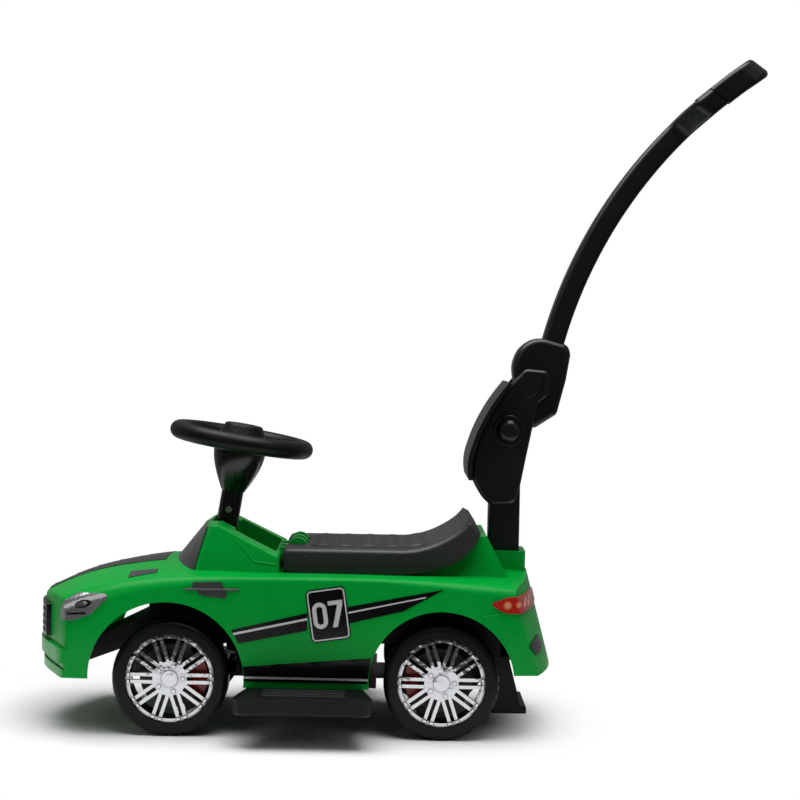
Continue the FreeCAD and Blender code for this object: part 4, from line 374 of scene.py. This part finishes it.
def soften(node: str, finish: Finish, width_mm: float = 0.0,
           angle: float = CREASE_DEG) -> bpy.types.Object:
    """Stands in for a CAD node with a smooth copy whose sharp edges are rounded.

    Args:
        node: the CAD node's name.
        finish: its finish.
        width_mm: the rounding, none at zero.
        angle: edges sharper than this many degrees are rounded or stay crisp.

    Returns:
        The copy.
    """
    obj = merged_copy(node, node + "_dressed")
    if width_mm:
        apply_modifier(obj, "BEVEL", {
            "width": width_mm * MM, "segments": BEVEL_SEGMENTS, "limit_method": "ANGLE",
            "angle_limit": math.radians(angle), "use_clamp_overlap": True, "harden_normals": False})
    smooth(obj, angle)
    if width_mm:
        apply_modifier(obj, "WEIGHTED_NORMAL", {"keep_sharp": True, "weight": NORMAL_WEIGHT})
    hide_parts(node)
    return finish_piece(obj, BODY_OF[node], SLOT_OF[node], finish)


def soften_all(trims: Sequence[Trim]) -> None:
    """Softens a row of CAD nodes, each with its own finish and rounding."""
    for node, finish, width_mm in trims:
        soften(node, finish, width_mm)


def in_convex(point: Pair, outline: Outline) -> bool:
    """Whether a point is inside a convex outline that runs counter-clockwise."""
    x, y = point
    for (x0, y0), (x1, y1) in zip(outline, outline[1:] + outline[:1]):
        if (x1 - x0) * (y - y0) - (y1 - y0) * (x - x0) < 0:
            return False
    return True


def counter_clockwise(outline: Outline) -> Outline:
    """The outline in counter-clockwise order."""
    pairs = zip(outline, outline[1:] + outline[:1])
    area = sum(x0 * y1 - x1 * y0 for (x0, y0), (x1, y1) in pairs)
    return outline if area > 0 else outline[::-1]


def turned(centre: Pair, spots: Outline, turn: float) -> Outline:
    """Places round an origin, turned by an angle in degrees and set at a centre."""
    c, s = math.cos(math.radians(turn)), math.sin(math.radians(turn))
    return [(centre[0] + c * x - s * y, centre[1] + s * x + c * y) for x, y in spots]


def rounded_box(centre: Pair, width: float, height: float, corner: float, turn: float) -> Outline:
    """A turned rectangle with rounded corners.

    Args:
        centre: its middle.
        width: its width.
        height: its height.
        corner: the corner radius.
        turn: its turn in degrees.

    Returns:
        The outline, counter-clockwise.
    """
    spots = []
    for quarter, (sx, sy) in enumerate(((1, 1), (-1, 1), (-1, -1), (1, -1))):
        for step in range(CORNER_STEPS + 1):
            swing = math.radians(90 * quarter + 90 / CORNER_STEPS * step)
            spots.append((sx * (width / 2 - corner) + corner * math.cos(swing),
                          sy * (height / 2 - corner) + corner * math.sin(swing)))
    return turned(centre, spots, turn)


def oval(centre: Pair, width: float, height: float, turn: float) -> Outline:
    """A turned ellipse as an outline, counter-clockwise.

    Args:
        centre: its middle.
        width: its width.
        height: its height.
        turn: its turn in degrees.

    Returns:
        The outline.
    """
    swings = [2 * math.pi * step / OVAL_POINTS for step in range(OVAL_POINTS)]
    spots = [(width / 2 * math.cos(swing), height / 2 * math.sin(swing)) for swing in swings]
    return turned(centre, spots, turn)


@dataclass
class Foil:
    """A thin printed foil laid on a skin: a convex outline with inlaid outlines, in mm."""

    name: str
    side: Side
    outline: Outline
    finish: Finish
    inlays: Sequence[tuple[Outline, Finish]] = ()
    slot: str = "gloss_black"
    cell_mm: float = 4.0
    lift_mm: float = 0.25
    thick_mm: float = 0.35
    body: str = "chassis"
    even_rounds: int = 8
    even_factor: float = 0.5
    relief: Callable[[Pair], float] | None = None

    def point(self, pair: Pair) -> Vector:
        """The starting place of an outline point, off the skin."""
        return self.side.spot(pair, FOIL_START_M[self.side])

    def sheet(self) -> bpy.types.Object:
        """A fine grid cut to the outlines, before it is laid on."""
        low = [min(p[i] for p in self.outline) for i in (0, 1)]
        high = [max(p[i] for p in self.outline) for i in (0, 1)]
        size = [(b - a) + self.cell_mm for a, b in zip(low, high)]
        cells = [max(2, int(length / self.cell_mm)) for length in size]
        middle = self.point(((low[0] + high[0]) / 2, (low[1] + high[1]) / 2))
        bpy.ops.object.select_all(action="DESELECT")
        bpy.ops.mesh.primitive_grid_add(
            x_subdivisions=cells[0], y_subdivisions=cells[1],
            size=1, location=middle, rotation=(self.side.tilt, 0, 0))
        obj = bpy.context.object
        obj.name = self.name
        obj.scale = (size[0] * MM, size[1] * MM, 1)
        bpy.ops.object.transform_apply(location=True, rotation=True, scale=True)
        bpy.ops.object.mode_set(mode="EDIT")
        self.cut(self.outline, True)
        for inlay, _ in self.inlays:
            self.cut(inlay, False)
        bpy.ops.mesh.select_all(action="SELECT")
        bpy.ops.mesh.remove_doubles(threshold=SHEET_MERGE_M)
        bpy.ops.object.mode_set(mode="OBJECT")
        return obj

    def cut(self, outline: Outline, trim: bool) -> None:
        """Cuts the sheet that is in edit mode along an outline.

        Args:
            outline: the outline to follow.
            trim: whether what lies outside is deleted.
        """
        ring = counter_clockwise(outline)
        for a, b in zip(ring, ring[1:] + ring[:1]):
            start, along = self.point(a), self.point(b) - self.point(a)
            out = self.side.outward(along).normalized()
            bpy.ops.mesh.select_all(action="SELECT")
            bpy.ops.mesh.bisect(plane_co=start, plane_no=out, clear_outer=trim)

    def lay(self, target: bpy.types.Object) -> bpy.types.Object:
        """Makes the foil and lays it on a skin.

        Args:
            target: the piece that it lies on.

        Returns:
            The foil.
        """
        obj = self.sheet()
        inner = [(counter_clockwise(inlay), number) for number, (inlay, _) in enumerate(self.inlays, 1)]
        for face in obj.data.polygons:
            for inlay, number in inner:
                if in_convex(self.side.flat(face.center), inlay):
                    face.material_index = number
        positive = self.side.out < 0
        apply_modifier(obj, "SHRINKWRAP", {
            "target": target, "wrap_method": "PROJECT", f"use_project_{'xyz'[self.side.axis]}": True,
            "use_positive_direction": positive, "use_negative_direction": not positive,
            "offset": self.lift_mm * MM})
        self.drop_loose(obj)
        apply_modifier(obj, "SMOOTH", {
            "factor": self.even_factor, "iterations": self.even_rounds, "use_x": False,
            "use_y": self.side is not Side.TOP, "use_z": self.side is Side.TOP})
        if self.relief:
            for vertex in obj.data.vertices:
                vertex.co.z += self.relief(self.side.flat(vertex.co)) * MM
        apply_modifier(obj, "SOLIDIFY", {"thickness": self.thick_mm * MM, "offset": 1.0})
        smooth(obj)
        return finish_piece(obj, self.body, self.slot, self.finish, *[finish for _, finish in self.inlays])

    def drop_loose(self, obj: bpy.types.Object) -> None:
        """Deletes what lies beyond the skin's edge and so was not laid on it."""
        axis = self.side.axis
        start = self.point((0.0, 0.0))[axis]
        select_only(obj)
        bpy.ops.object.mode_set(mode="EDIT")
        bpy.ops.mesh.select_mode(type="VERT")
        bpy.ops.mesh.select_all(action="DESELECT")
        bpy.ops.object.mode_set(mode="OBJECT")
        for vertex in obj.data.vertices:
            vertex.select = abs(vertex.co[axis] - start) < MM
        bpy.ops.object.mode_set(mode="EDIT")
        bpy.ops.mesh.delete(type="VERT")
        bpy.ops.object.mode_set(mode="OBJECT")


def skin_point(target: bpy.types.Object, side: Side, pair: Pair) -> tuple[Vector, Vector]:
    """The place and outward normal of a skin, seen square on from one side.

    Args:
        target: the piece with the skin.
        side: the side it is seen from.
        pair: the flat place in mm.

    Returns:
        The place and the normal.
    """
    inward = Vector((0, 0, 0))
    inward[side.axis] = -side.out
    found, place, normal, _ = target.ray_cast(side.spot(pair, RAY_START_M[side]), inward)
    if not found:
        raise ValueError(f"no skin of {target.name} at {pair}")
    return place, normal


@dataclass
class Line:
    """A bead, bar or dark seam along a skin: a round strand sunk into it, sizes in mm."""

    name: str
    side: Side
    points: Route
    finish: Finish
    slot: str
    radius_mm: float
    sink_mm: float
    step_mm: float = 3.0
    end_taper: float = 0.3
    spline_order: int = 3
    round_steps: int = 2
    crease_deg: float = 60.0
    body: str = "chassis"

    def lay(self, target: bpy.types.Object) -> bpy.types.Object:
        """Lays the strand along a skin.

        Args:
            target: the piece that it lies on.

        Returns:
            The strand.
        """
        spots = [self.points[0]]
        for (x0, y0), (x1, y1) in zip(self.points, self.points[1:]):
            steps = max(1, round(math.hypot(x1 - x0, y1 - y0) / self.step_mm))
            spots += [(x0 + (x1 - x0) * i / steps, y0 + (y1 - y0) * i / steps) for i in range(1, steps + 1)]
        bpy.ops.object.select_all(action="DESELECT")
        bpy.ops.object.add(type="CURVE")
        obj = bpy.context.object
        obj.name = self.name
        obj.data.dimensions = "3D"
        spline = obj.data.splines.new("NURBS")
        spline.points.add(len(spots) - 1)
        for knot, spot in zip(spline.points, spots):
            place, normal = skin_point(target, self.side, spot)
            knot.co = (*(place - normal * self.sink_mm * MM), 1.0)
        spline.points[0].radius = spline.points[-1].radius = self.end_taper
        spline.order_u = self.spline_order
        spline.use_endpoint_u = True
        obj.data.bevel_depth = self.radius_mm * MM
        obj.data.bevel_resolution = self.round_steps
        obj.data.use_fill_caps = True
        bpy.ops.object.convert(target="MESH")
        obj = bpy.context.object
        smooth(obj, self.crease_deg)
        return finish_piece(obj, self.body, self.slot, self.finish)


@dataclass
class Bodywork:
    """The green shell with its trims, lamps and printed foils; flat places and sizes in mm."""

    trims: tuple[Trim, ...] = (
        ("body_shell", GREEN, 1.0), ("windscreen_panel", SCREEN, 0.8), ("grille", GLOSS, 0.6),
        ("side_vents", SCREEN, 0.4), ("bonnet_vents", SCREEN, 0.4), ("rear_reflectors", GLOSS, 0.4),
        ("storage_tub", BLACK, 0.8), ("under_pan", BLACK, 0.8), ("headlight_left", LAMP_SILVER, 0.8),
        ("headlight_right", LAMP_SILVER, 0.8), ("tail_light_left", LAMP_RED, 0.8),
        ("tail_light_right", LAMP_RED, 0.8), ("seat_hinge_pin", STEEL, 0.3),
        ("underside_screws", STEEL, 0.3))
    bonnet_stripe: Outline = ((-340, -22), (-186, -44), (-186, 44), (-340, 22))
    sill_band: Outline = ((-76.5, 70.5), (76.8, 69.5), (81.6, 103), (-78.2, 89.5))
    sill_line: Outline = ((-77, 74.2), (79, 73.2), (79, 76.2), (-77, 77.2))
    front_stripe: Outline = ((-84, 119), (1, 136.5), (1, 158.5), (-93, 136))
    front_line: Outline = ((-90.5, 129.6), (1, 149.6), (1, 152.4), (-91.6, 132.2))
    rear_stripe: Outline = ((50, 145.8), (120, 163), (170, 191), (50, 166.7))
    rear_line: Outline = ((50, 158.2), (147, 180.0), (149, 182.0), (50, 160.4))
    plate_middle: Pair = (27.0, 157.0)
    plate_size: Pair = (50.0, 66.0)
    plate_turn: float = 8.5
    plate_corner: float = 7.0
    plate_cell: float = 5.0
    plate_lift: float = 0.5
    # The silver rim lies between two outlines that are this much narrower and lower than the plate.
    plate_rim: Pair = (3.0, 6.4)
    # A digit's width, height and stroke, and how far its middle is from the plate's.
    digit_size: Triple = (18.0, 33.0, 5.2)
    digit_reach: float = 10.2
    digit_lift: float = 0.8
    digit_thick: float = 0.3
    # The seven's leg in strokes: where its foot begins and ends, and how wide it is under the bar.
    leg_strokes: Triple = (0.5, 1.7, 1.25)
    # Lines on the side, each with the strand's radius and how far it is sunk.
    vent_bar: Route = ((-152, 186), (-83, 186))
    vent_bar_strand: Pair = (1.5, -1.0)
    cowl_crease: Route = ((-93, 244), (-69, 217), (-28, 212))
    cowl_crease_strand: Pair = (1.3, 0.6)
    tail_crease: Route = ((214, 157), (250, 164))
    tail_crease_strand: Pair = (1.0, 0.5)
    # Foils on the lamps are small, so their sheets are finer and are evened out less.
    lens_cell: float = 1.5
    lens_even_rounds: int = 2
    eye: Oval = ((-277, 165.5), 21, 9.5, 14)
    eye_glass: Oval = ((-278, 165.2), 16.5, 6.4, 14)
    eye_bulb: Oval = ((-274.5, 166.2), 4.6, 4.6, 0)
    fin: Box = ((-285, 153.5), 24, 2.0, 0.9, 4)
    tail_lamps: tuple[tuple[Pair, float], ...] = (((249.5, 173.0), 11.0), ((263.5, 173.8), 8.6))
    tail_core_share: float = 0.62
    tail_bars: tuple[Pair, ...] = ((273.0, 174.2), (278.5, 174.8))
    tail_bar_size: Pair = (2.4, 11.0)
    tail_bar_corner: float = 1.0
    tail_bar_turn: float = -12.0

    def build(self) -> None:
        """Dresses the shell and lays on every foil."""
        soften_all(self.trims)
        skin = merged_copy("body_shell", "skin_for_foils")
        bpy.context.view_layer.update()
        for side in FLANKS:
            self.side_foils(skin, side)
            self.digits(skin, side)
            self.side_lines(skin, side)
            self.headlight(side)
            self.tail_light(side)
        Foil("bonnet_stripe", Side.TOP, self.bonnet_stripe, FOIL_BLACK).lay(skin)
        bpy.data.objects.remove(skin)

    def side_foils(self, skin: bpy.types.Object, side: Side) -> None:
        """Lays the sill band, the two slanted stripes and the number plate on one side."""
        for name, band, line in (("sill_band", self.sill_band, self.sill_line),
                                 ("front_stripe", self.front_stripe, self.front_line),
                                 ("rear_stripe", self.rear_stripe, self.rear_line)):
            Foil(f"{name}_{side.value}", side, band, FOIL_BLACK, [(line, FOIL_SILVER)]).lay(skin)
        wide, tall = self.plate_size
        plate, rim, inside = [
            rounded_box(self.plate_middle, wide - trim, tall - trim, self.plate_corner - trim / 2,
                        self.plate_turn)
            for trim in (0.0, *self.plate_rim)]
        Foil(f"number_plate_{side.value}", side, plate, FOIL_BLACK,
             [(rim, FOIL_SILVER), (inside, FOIL_BLACK)],
             lift_mm=self.plate_lift, cell_mm=self.plate_cell).lay(skin)

    def digits(self, skin: bpy.types.Object, side: Side) -> None:
        """Lays a plain number, nought and seven, on the plate of one side."""
        wide, tall, bold = self.digit_size
        ring = rounded_box((-self.digit_reach, 0), wide, tall, wide / 2, 0)
        hole = rounded_box((-self.digit_reach, 0), wide - 2 * bold, tall - 2 * bold, wide / 2 - bold, 0)
        left, right = self.digit_reach - wide / 2, self.digit_reach + wide / 2
        under, top = tall / 2 - bold, tall / 2
        bar = [(left, under), (right, under), (right, top), (left, top)]
        begin, end, broad = (strokes * bold for strokes in self.leg_strokes)
        leg = [(left + begin, -top), (left + end, -top), (right, under), (right - broad, under)]
        for name, outline, inlays in (("nought", ring, [hole]), ("seven_bar", bar, []),
                                      ("seven_leg", leg, [])):
            # Seen from the right, X runs to the left, so the digits' places are mirrored.
            placed = [turned(self.plate_middle, [(-side.out * x, y) for x, y in spots], self.plate_turn)
                      for spots in (outline, *inlays)]
            Foil(f"plate_{name}_{side.value}", side, placed[0], FOIL_SILVER,
                 [(spots, FOIL_BLACK) for spots in placed[1:]], "trim_silver",
                 lift_mm=self.digit_lift, thick_mm=self.digit_thick).lay(skin)

    def side_lines(self, skin: bpy.types.Object, side: Side) -> None:
        """Lays the bar across the wing vent and the two moulded creases on one side."""
        for name, points, finish, slot, strand in (
                ("vent_bar", self.vent_bar, SCREEN, "screen_grey", self.vent_bar_strand),
                ("cowl_crease", self.cowl_crease, GREEN, "green_plastic", self.cowl_crease_strand),
                ("tail_crease", self.tail_crease, GREEN, "green_plastic", self.tail_crease_strand)):
            Line(f"{name}_{side.value}", side, points, finish, slot, *strand).lay(skin)

    def headlight(self, side: Side) -> None:
        """Sets the eye with its glass and bulb, and the fin, in a headlight."""
        lens = merged_copy(f"headlight_{side.value}", "lens_for_foils")
        Foil(f"headlight_eye_{side.value}", side, oval(*self.eye), FOIL_BLACK,
             [(oval(*self.eye_glass), SCREEN), (oval(*self.eye_bulb), LAMP_SILVER)],
             cell_mm=self.lens_cell, even_rounds=self.lens_even_rounds).lay(lens)
        Foil(f"headlight_fin_{side.value}", side, rounded_box(*self.fin), FOIL_BLACK,
             cell_mm=self.lens_cell, even_rounds=self.lens_even_rounds).lay(lens)
        bpy.data.objects.remove(lens)

    def tail_light(self, side: Side) -> None:
        """Sets the round lamps and the bars in a tail light."""
        lens = merged_copy(f"tail_light_{side.value}", "lens_for_foils")
        for number, (middle, wide) in enumerate(self.tail_lamps):
            core = self.tail_core_share * wide
            Foil(f"tail_lamp_{side.value}_{number}", side, oval(middle, wide, wide, 0), LAMP_AMBER,
                 [(oval(middle, core, core, 0), LAMP_PINK)], "lamp_red",
                 cell_mm=self.lens_cell, even_rounds=self.lens_even_rounds).lay(lens)
        for number, middle in enumerate(self.tail_bars):
            bar = rounded_box(middle, *self.tail_bar_size, self.tail_bar_corner, self.tail_bar_turn)
            Foil(f"tail_bar_{side.value}_{number}", side, bar, LAMP_PINK, slot="lamp_red",
                 cell_mm=self.lens_cell, even_rounds=self.lens_even_rounds).lay(lens)
        bpy.data.objects.remove(lens)


@dataclass
class Wheels:
    """Tyres, chromed rims and mock brakes at the four corners, and the axle parts."""

    tyre_crease_deg: float = 30.0
    rim_edge_mm: float = 1.0
    disc_edge_mm: float = 0.4
    part_edge_mm: float = 0.5
    red_parts: tuple[str, ...] = ("front_caliper_left", "front_caliper_right", "rear_calipers")
    steel_parts: tuple[str, ...] = ("rear_axle", "kingpins", "stub_axle_left", "stub_axle_right")
    black_parts: tuple[str, ...] = ("front_axle_beam", "knuckle_left", "knuckle_right", "tie_rod")

    def build(self) -> None:
        """Dresses every wheel and the axle parts."""
        for end in ("front", "rear"):
            for side in FLANKS:
                corner = f"{end}_{side.value}"
                soften(f"{corner}_tyre", TYRE, angle=self.tyre_crease_deg)
                soften(f"{corner}_rim", CHROME, self.rim_edge_mm)
                soften(f"{corner}_brake_disc", DISC, self.disc_edge_mm)
        for nodes, finish in ((self.red_parts, RED), (self.steel_parts, STEEL), (self.black_parts, BLACK)):
            soften_all([(node, finish, self.part_edge_mm) for node in nodes])


@dataclass
class Cockpit:
    """Seat, steering wheel and column, footrests and rear stop; sizes in mm."""

    seat_crease_deg: float = 50.0
    quilt_middle: Pair = (76.0, 0.0)
    quilt_size: Pair = (152.0, 140.0)
    quilt_corner: float = 18.0
    quilt_start: float = 61.0
    quilt_cell: float = 1.6
    quilt_lift: float = -0.2
    quilt_thick: float = 0.6
    quilt_border: float = 6.0
    # The stitch lines' spacing along and across; one crossing is at quilt_start.
    diamond: Pair = (30.0, 30.0)
    puff_height: float = 3.2
    puff_power: float = 0.5
    tread_rows: tuple[float, ...] = (142.0, 152.0, 162.0, 172.0, 182.0)
    tread_reach: Pair = (-54.0, 52.0)
    # The beads' radius and how far they are sunk.
    tread_strand: Pair = (1.3, 0.5)
    trims: tuple[Trim, ...] = (
        ("steering_shaft", STEEL, 0.4), ("column_bush", BLACK, 0.4), ("steering_column", GLOSS, 1.0),
        ("column_screw", STEEL, 0.4), ("steering_bell", GLOSS, 1.0), ("steering_wheel", BLACK, 1.4),
        ("horn_pad", BLACK, 2.0), ("spoke_trims", SILVER, 0.7), ("footrest_left", BLACK, 0.8),
        ("footrest_right", BLACK, 0.8), ("rear_stop", BLACK, 2.0))

    def build(self) -> None:
        """Dresses the seat, the steering parts and the foot parts."""
        soften("seat_lid", SEAT, angle=self.seat_crease_deg)
        self.quilt()
        for side in FLANKS:
            self.treads(side)
        soften_all(self.trims)

    def puff(self, pair: Pair) -> float:
        """How far the quilt stands up at a place, in mm: pillows between crossing stitch lines."""
        along, across = (pair[0] - self.quilt_start) / self.diamond[0], pair[1] / self.diamond[1]
        u, v = along + across, along - across
        pillow = abs(math.sin(math.pi * u) * math.sin(math.pi * v)) ** self.puff_power
        inset = min(self.quilt_size[i] / 2 - abs(pair[i] - self.quilt_middle[i]) for i in (0, 1))
        return self.puff_height * pillow * min(1.0, max(0.0, inset / self.quilt_border))

    def quilt(self) -> None:
        """Lays the moulded diamond quilt on the seat top."""
        lid = merged_copy("seat_lid", "lid_for_quilt")
        panel = rounded_box(self.quilt_middle, *self.quilt_size, self.quilt_corner, 0)
        Foil("seat_quilt", Side.TOP, panel, SEAT, slot="seat_black", cell_mm=self.quilt_cell,
             lift_mm=self.quilt_lift, thick_mm=self.quilt_thick, body="seat", relief=self.puff).lay(lid)
        bpy.data.objects.remove(lid)

    def treads(self, side: Side) -> None:
        """Lays the anti-slip beads along a footrest."""
        board = merged_copy(f"footrest_{side.value}", "board_for_treads")
        bpy.context.view_layer.update()
        for row, reach in enumerate(self.tread_rows):
            points = [(x, side.out * reach) for x in self.tread_reach]
            Line(f"tread_bead_{side.value}_{row}", Side.TOP, points, BLACK, "black_plastic",
                 *self.tread_strand).lay(board)
        bpy.data.objects.remove(board)


@dataclass
class PushHandle:
    """Post, hinge, backrest, yoke, curved bar and grip; sizes in mm."""

    trims: tuple[Trim, ...] = (
        ("handle_post", HANDLE, 2.0), ("hinge_housing_left", HANDLE, 0.6),
        ("hinge_housing_right", HANDLE, 0.6), ("backrest_panel", HANDLE, 2.0),
        ("handle_yoke", HANDLE, 0.0), ("push_bar", HANDLE, 0.0), ("grip", HANDLE, 0.0),
        ("release_button_left", HANDLE, 1.5), ("release_button_right", HANDLE, 1.5),
        ("pivot_pin", STEEL, 0.4), ("handle_screws", STEEL, 0.4))
    seam: Route = (
        (296, 461), (297, 449), (294.5, 439.5), (287.5, 433), (274.5, 426.5), (263.5, 418.5), (258, 409))
    # The seam's radius and how far it is sunk.
    seam_strand: Pair = (0.7, 0.35)

    def build(self) -> None:
        """Dresses the handle and draws the seam on the cheeks of its hinge housing."""
        soften_all(self.trims)
        for side in FLANKS:
            cheek = merged_copy(f"hinge_housing_{side.value}", "cheek_for_seam")
            bpy.context.view_layer.update()
            Line(f"cheek_seam_{side.value}", side, self.seam, FOIL_BLACK, "handle_black",
                 *self.seam_strand).lay(cheek)
            bpy.data.objects.remove(cheek)


@dataclass(frozen=True)
class Softbox:
    """A rectangular soft light; places and sizes in metres."""

    name: str
    place: Triple
    aim: Triple
    size: Pair
    watts: float

    def hang(self) -> None:
        """Hangs the light at its place, facing its aim."""
        data = bpy.data.lights.new(self.name, "AREA")
        data.shape = "RECTANGLE"
        data.size, data.size_y = self.size
        data.energy = self.watts
        obj = bpy.data.objects.new(self.name, data)
        bpy.context.scene.collection.objects.link(obj)
        obj.location = self.place
        facing = Vector(self.aim) - Vector(self.place)
        obj.rotation_euler = facing.to_track_quat("-Z", "Y").to_euler()


@dataclass
class Studio:
    """Floor, soft lights, world and the camera at the photograph's place."""

    softboxes: tuple[Softbox, ...] = (
        Softbox("top_softbox", (-0.1, -0.2, 2.3), (0.0, 0.0, 0.1), (2.6, 1.8), 69),
        Softbox("front_softbox", (-1.5, -1.9, 1.6), (0.0, 0.0, 0.2), (1.2, 1.2), 3),
        Softbox("right_softbox", (1.9, -1.5, 1.3), (0.1, 0.0, 0.25), (1.0, 1.2), 2))
    eye: Triple = (0.0947, -2.405, 0.4995)
    focal_px: float = 1832.0
    image_px: float = 800.0
    # Where the way straight ahead along +Y falls in the photograph.
    ahead_px: Pair = (386.8, 340.2)
    roll_deg: float = 1.1
    sensor_mm: float = 36.0
    clip_m: float = 50.0
    floor_m: float = 0.8
    floor_corners: int = 96
    floor_middle: Triple = (-0.07, 0.04, 0.0)
    paper: str = "#F4F4F4"
    # The paper fades to white between these distances from the floor's middle.
    fade_m: Pair = (0.3, 0.47)
    # In mirrors the white comes in between these two places behind the floor's middle.
    floor_behind_m: Pair = (0.1, 0.4)
    # The room's light rises from front to back, and mirrors see it brighter right behind the car.
    room_span: Pair = (-0.4, 0.5)
    room_level: Pair = (0.06, 0.2)
    room_behind: Pair = (0.3, 0.9)
    room_mirrored: float = 0.14

    def build(self) -> None:
        """Sets up everything round the object."""
        self.floor()
        self.world()
        for softbox in self.softboxes:
            softbox.hang()
        self.camera()
        bpy.context.scene.view_settings.view_transform = "Standard"

    def whiteness(self, tree: bpy.types.NodeTree, behind: bpy.types.NodeSocket) -> bpy.types.NodeSocket:
        """How much of the white backdrop a ray sees: all for the eye, some for mirrors, none for light.

        Args:
            tree: the node tree to add to.
            behind: the share that mirrors see.

        Returns:
            The share's socket.
        """
        path = add_node(tree, "ShaderNodeLightPath", {}, {})
        mirrored = add_node(tree, "ShaderNodeMath", {"operation": "MAXIMUM"}, {
            0: path.outputs["Is Glossy Ray"], 1: path.outputs["Is Transmission Ray"]})
        backdrop = add_node(tree, "ShaderNodeMath", {"operation": "MULTIPLY"}, {
            0: mirrored.outputs["Value"], 1: behind})
        looked = add_node(tree, "ShaderNodeMath", {"operation": "MAXIMUM"}, {
            0: backdrop.outputs["Value"], 1: path.outputs["Is Camera Ray"]})
        return looked.outputs["Value"]

    def floor(self) -> None:
        """A plain pale floor that fades to the white background."""
        bpy.ops.object.select_all(action="DESELECT")
        bpy.ops.mesh.primitive_circle_add(
            vertices=self.floor_corners, radius=self.floor_m, fill_type="NGON", location=self.floor_middle)
        obj = bpy.context.object
        obj.name = "studio_floor"
        made = bpy.data.materials.new("studio_paper_white")
        tree = fresh_tree(made)
        spot = add_node(tree, "ShaderNodeTexCoord", {}, {}).outputs["Object"]
        reach = add_node(tree, "ShaderNodeVectorMath", {"operation": "LENGTH"}, {0: spot})
        fade = add_node(tree, "ShaderNodeMapRange", {"interpolation_type": "SMOOTHSTEP"}, {
            "Value": reach.outputs["Value"], "From Min": self.fade_m[0], "From Max": self.fade_m[1]})
        parts = add_node(tree, "ShaderNodeSeparateXYZ", {}, {0: spot})
        behind = add_node(tree, "ShaderNodeMapRange", {}, {
            "Value": parts.outputs["Y"], "From Min": self.floor_behind_m[0],
            "From Max": self.floor_behind_m[1]})
        seen = add_node(tree, "ShaderNodeMath", {"operation": "MULTIPLY"}, {
            0: fade.outputs["Result"], 1: self.whiteness(tree, behind.outputs["Result"])})
        paper = add_node(tree, "ShaderNodeBsdfDiffuse", {}, {"Color": linear(self.paper)})
        white = add_node(tree, "ShaderNodeEmission", {}, {"Color": (1, 1, 1, 1), "Strength": 1.0})
        mix = add_node(tree, "ShaderNodeMixShader", {}, {
            "Fac": seen.outputs["Value"], 1: paper.outputs["BSDF"], 2: white.outputs["Emission"]})
        add_node(tree, "ShaderNodeOutputMaterial", {}, {"Surface": mix.outputs["Shader"]})
        obj.data.materials.append(made)

    def world(self) -> None:
        """White behind the object for the eye, and a softer room round it for the light."""
        world = bpy.data.worlds.new("studio_room")
        bpy.context.scene.world = world
        tree = fresh_tree(world)
        way = add_node(tree, "ShaderNodeTexCoord", {}, {}).outputs["Generated"]
        depth = add_node(tree, "ShaderNodeSeparateXYZ", {}, {0: way}).outputs["Y"]
        room = add_node(tree, "ShaderNodeMapRange", {}, {
            "Value": depth, "From Min": self.room_span[0], "From Max": self.room_span[1],
            "To Min": self.room_level[0], "To Max": self.room_level[1]})
        behind = add_node(tree, "ShaderNodeMapRange", {}, {
            "Value": depth, "From Min": self.room_behind[0], "From Max": self.room_behind[1],
            "To Max": self.room_mirrored})
        level = add_node(tree, "ShaderNodeMath", {"operation": "MAXIMUM"}, {
            0: room.outputs["Result"], 1: self.whiteness(tree, behind.outputs["Result"])})
        sky = add_node(tree, "ShaderNodeBackground", {}, {
            "Color": (1, 1, 1, 1), "Strength": level.outputs["Value"]})
        add_node(tree, "ShaderNodeOutputWorld", {}, {"Surface": sky.outputs["Background"]})

    def camera(self) -> None:
        """The camera, turned so that the way straight ahead falls where the photograph has it."""
        data = bpy.data.cameras.new("camera")
        data.sensor_width = self.sensor_mm
        data.lens = self.sensor_mm * self.focal_px / self.image_px
        data.clip_end = self.clip_m
        obj = bpy.data.objects.new("camera", data)
        bpy.context.scene.collection.objects.link(obj)
        half = self.image_px / 2
        aside, rise = (half - self.ahead_px[0]) / self.focal_px, (self.ahead_px[1] - half) / self.focal_px
        ahead = Vector((aside, 1.0, rise)).normalized()
        right = ahead.cross(Vector((0, 0, 1))).normalized()
        up = right.cross(ahead)
        c, s = math.cos(math.radians(self.roll_deg)), math.sin(math.radians(self.roll_deg))
        right, up = right * c + up * s, up * c - right * s
        turn = Matrix((right, up, -ahead)).transposed().to_4x4()
        obj.matrix_world = Matrix.Translation(self.eye) @ turn
        bpy.context.scene.camera = obj


def main() -> None:
    """Builds every sub-assembly in order."""
    logging.basicConfig(level=logging.INFO)
    for part in (Bodywork(), Wheels(), Cockpit(), PushHandle(), Studio()):
        part.build()
        LOG.info("built %s", type(part).__name__)


if __name__ == "__main__":
    main()
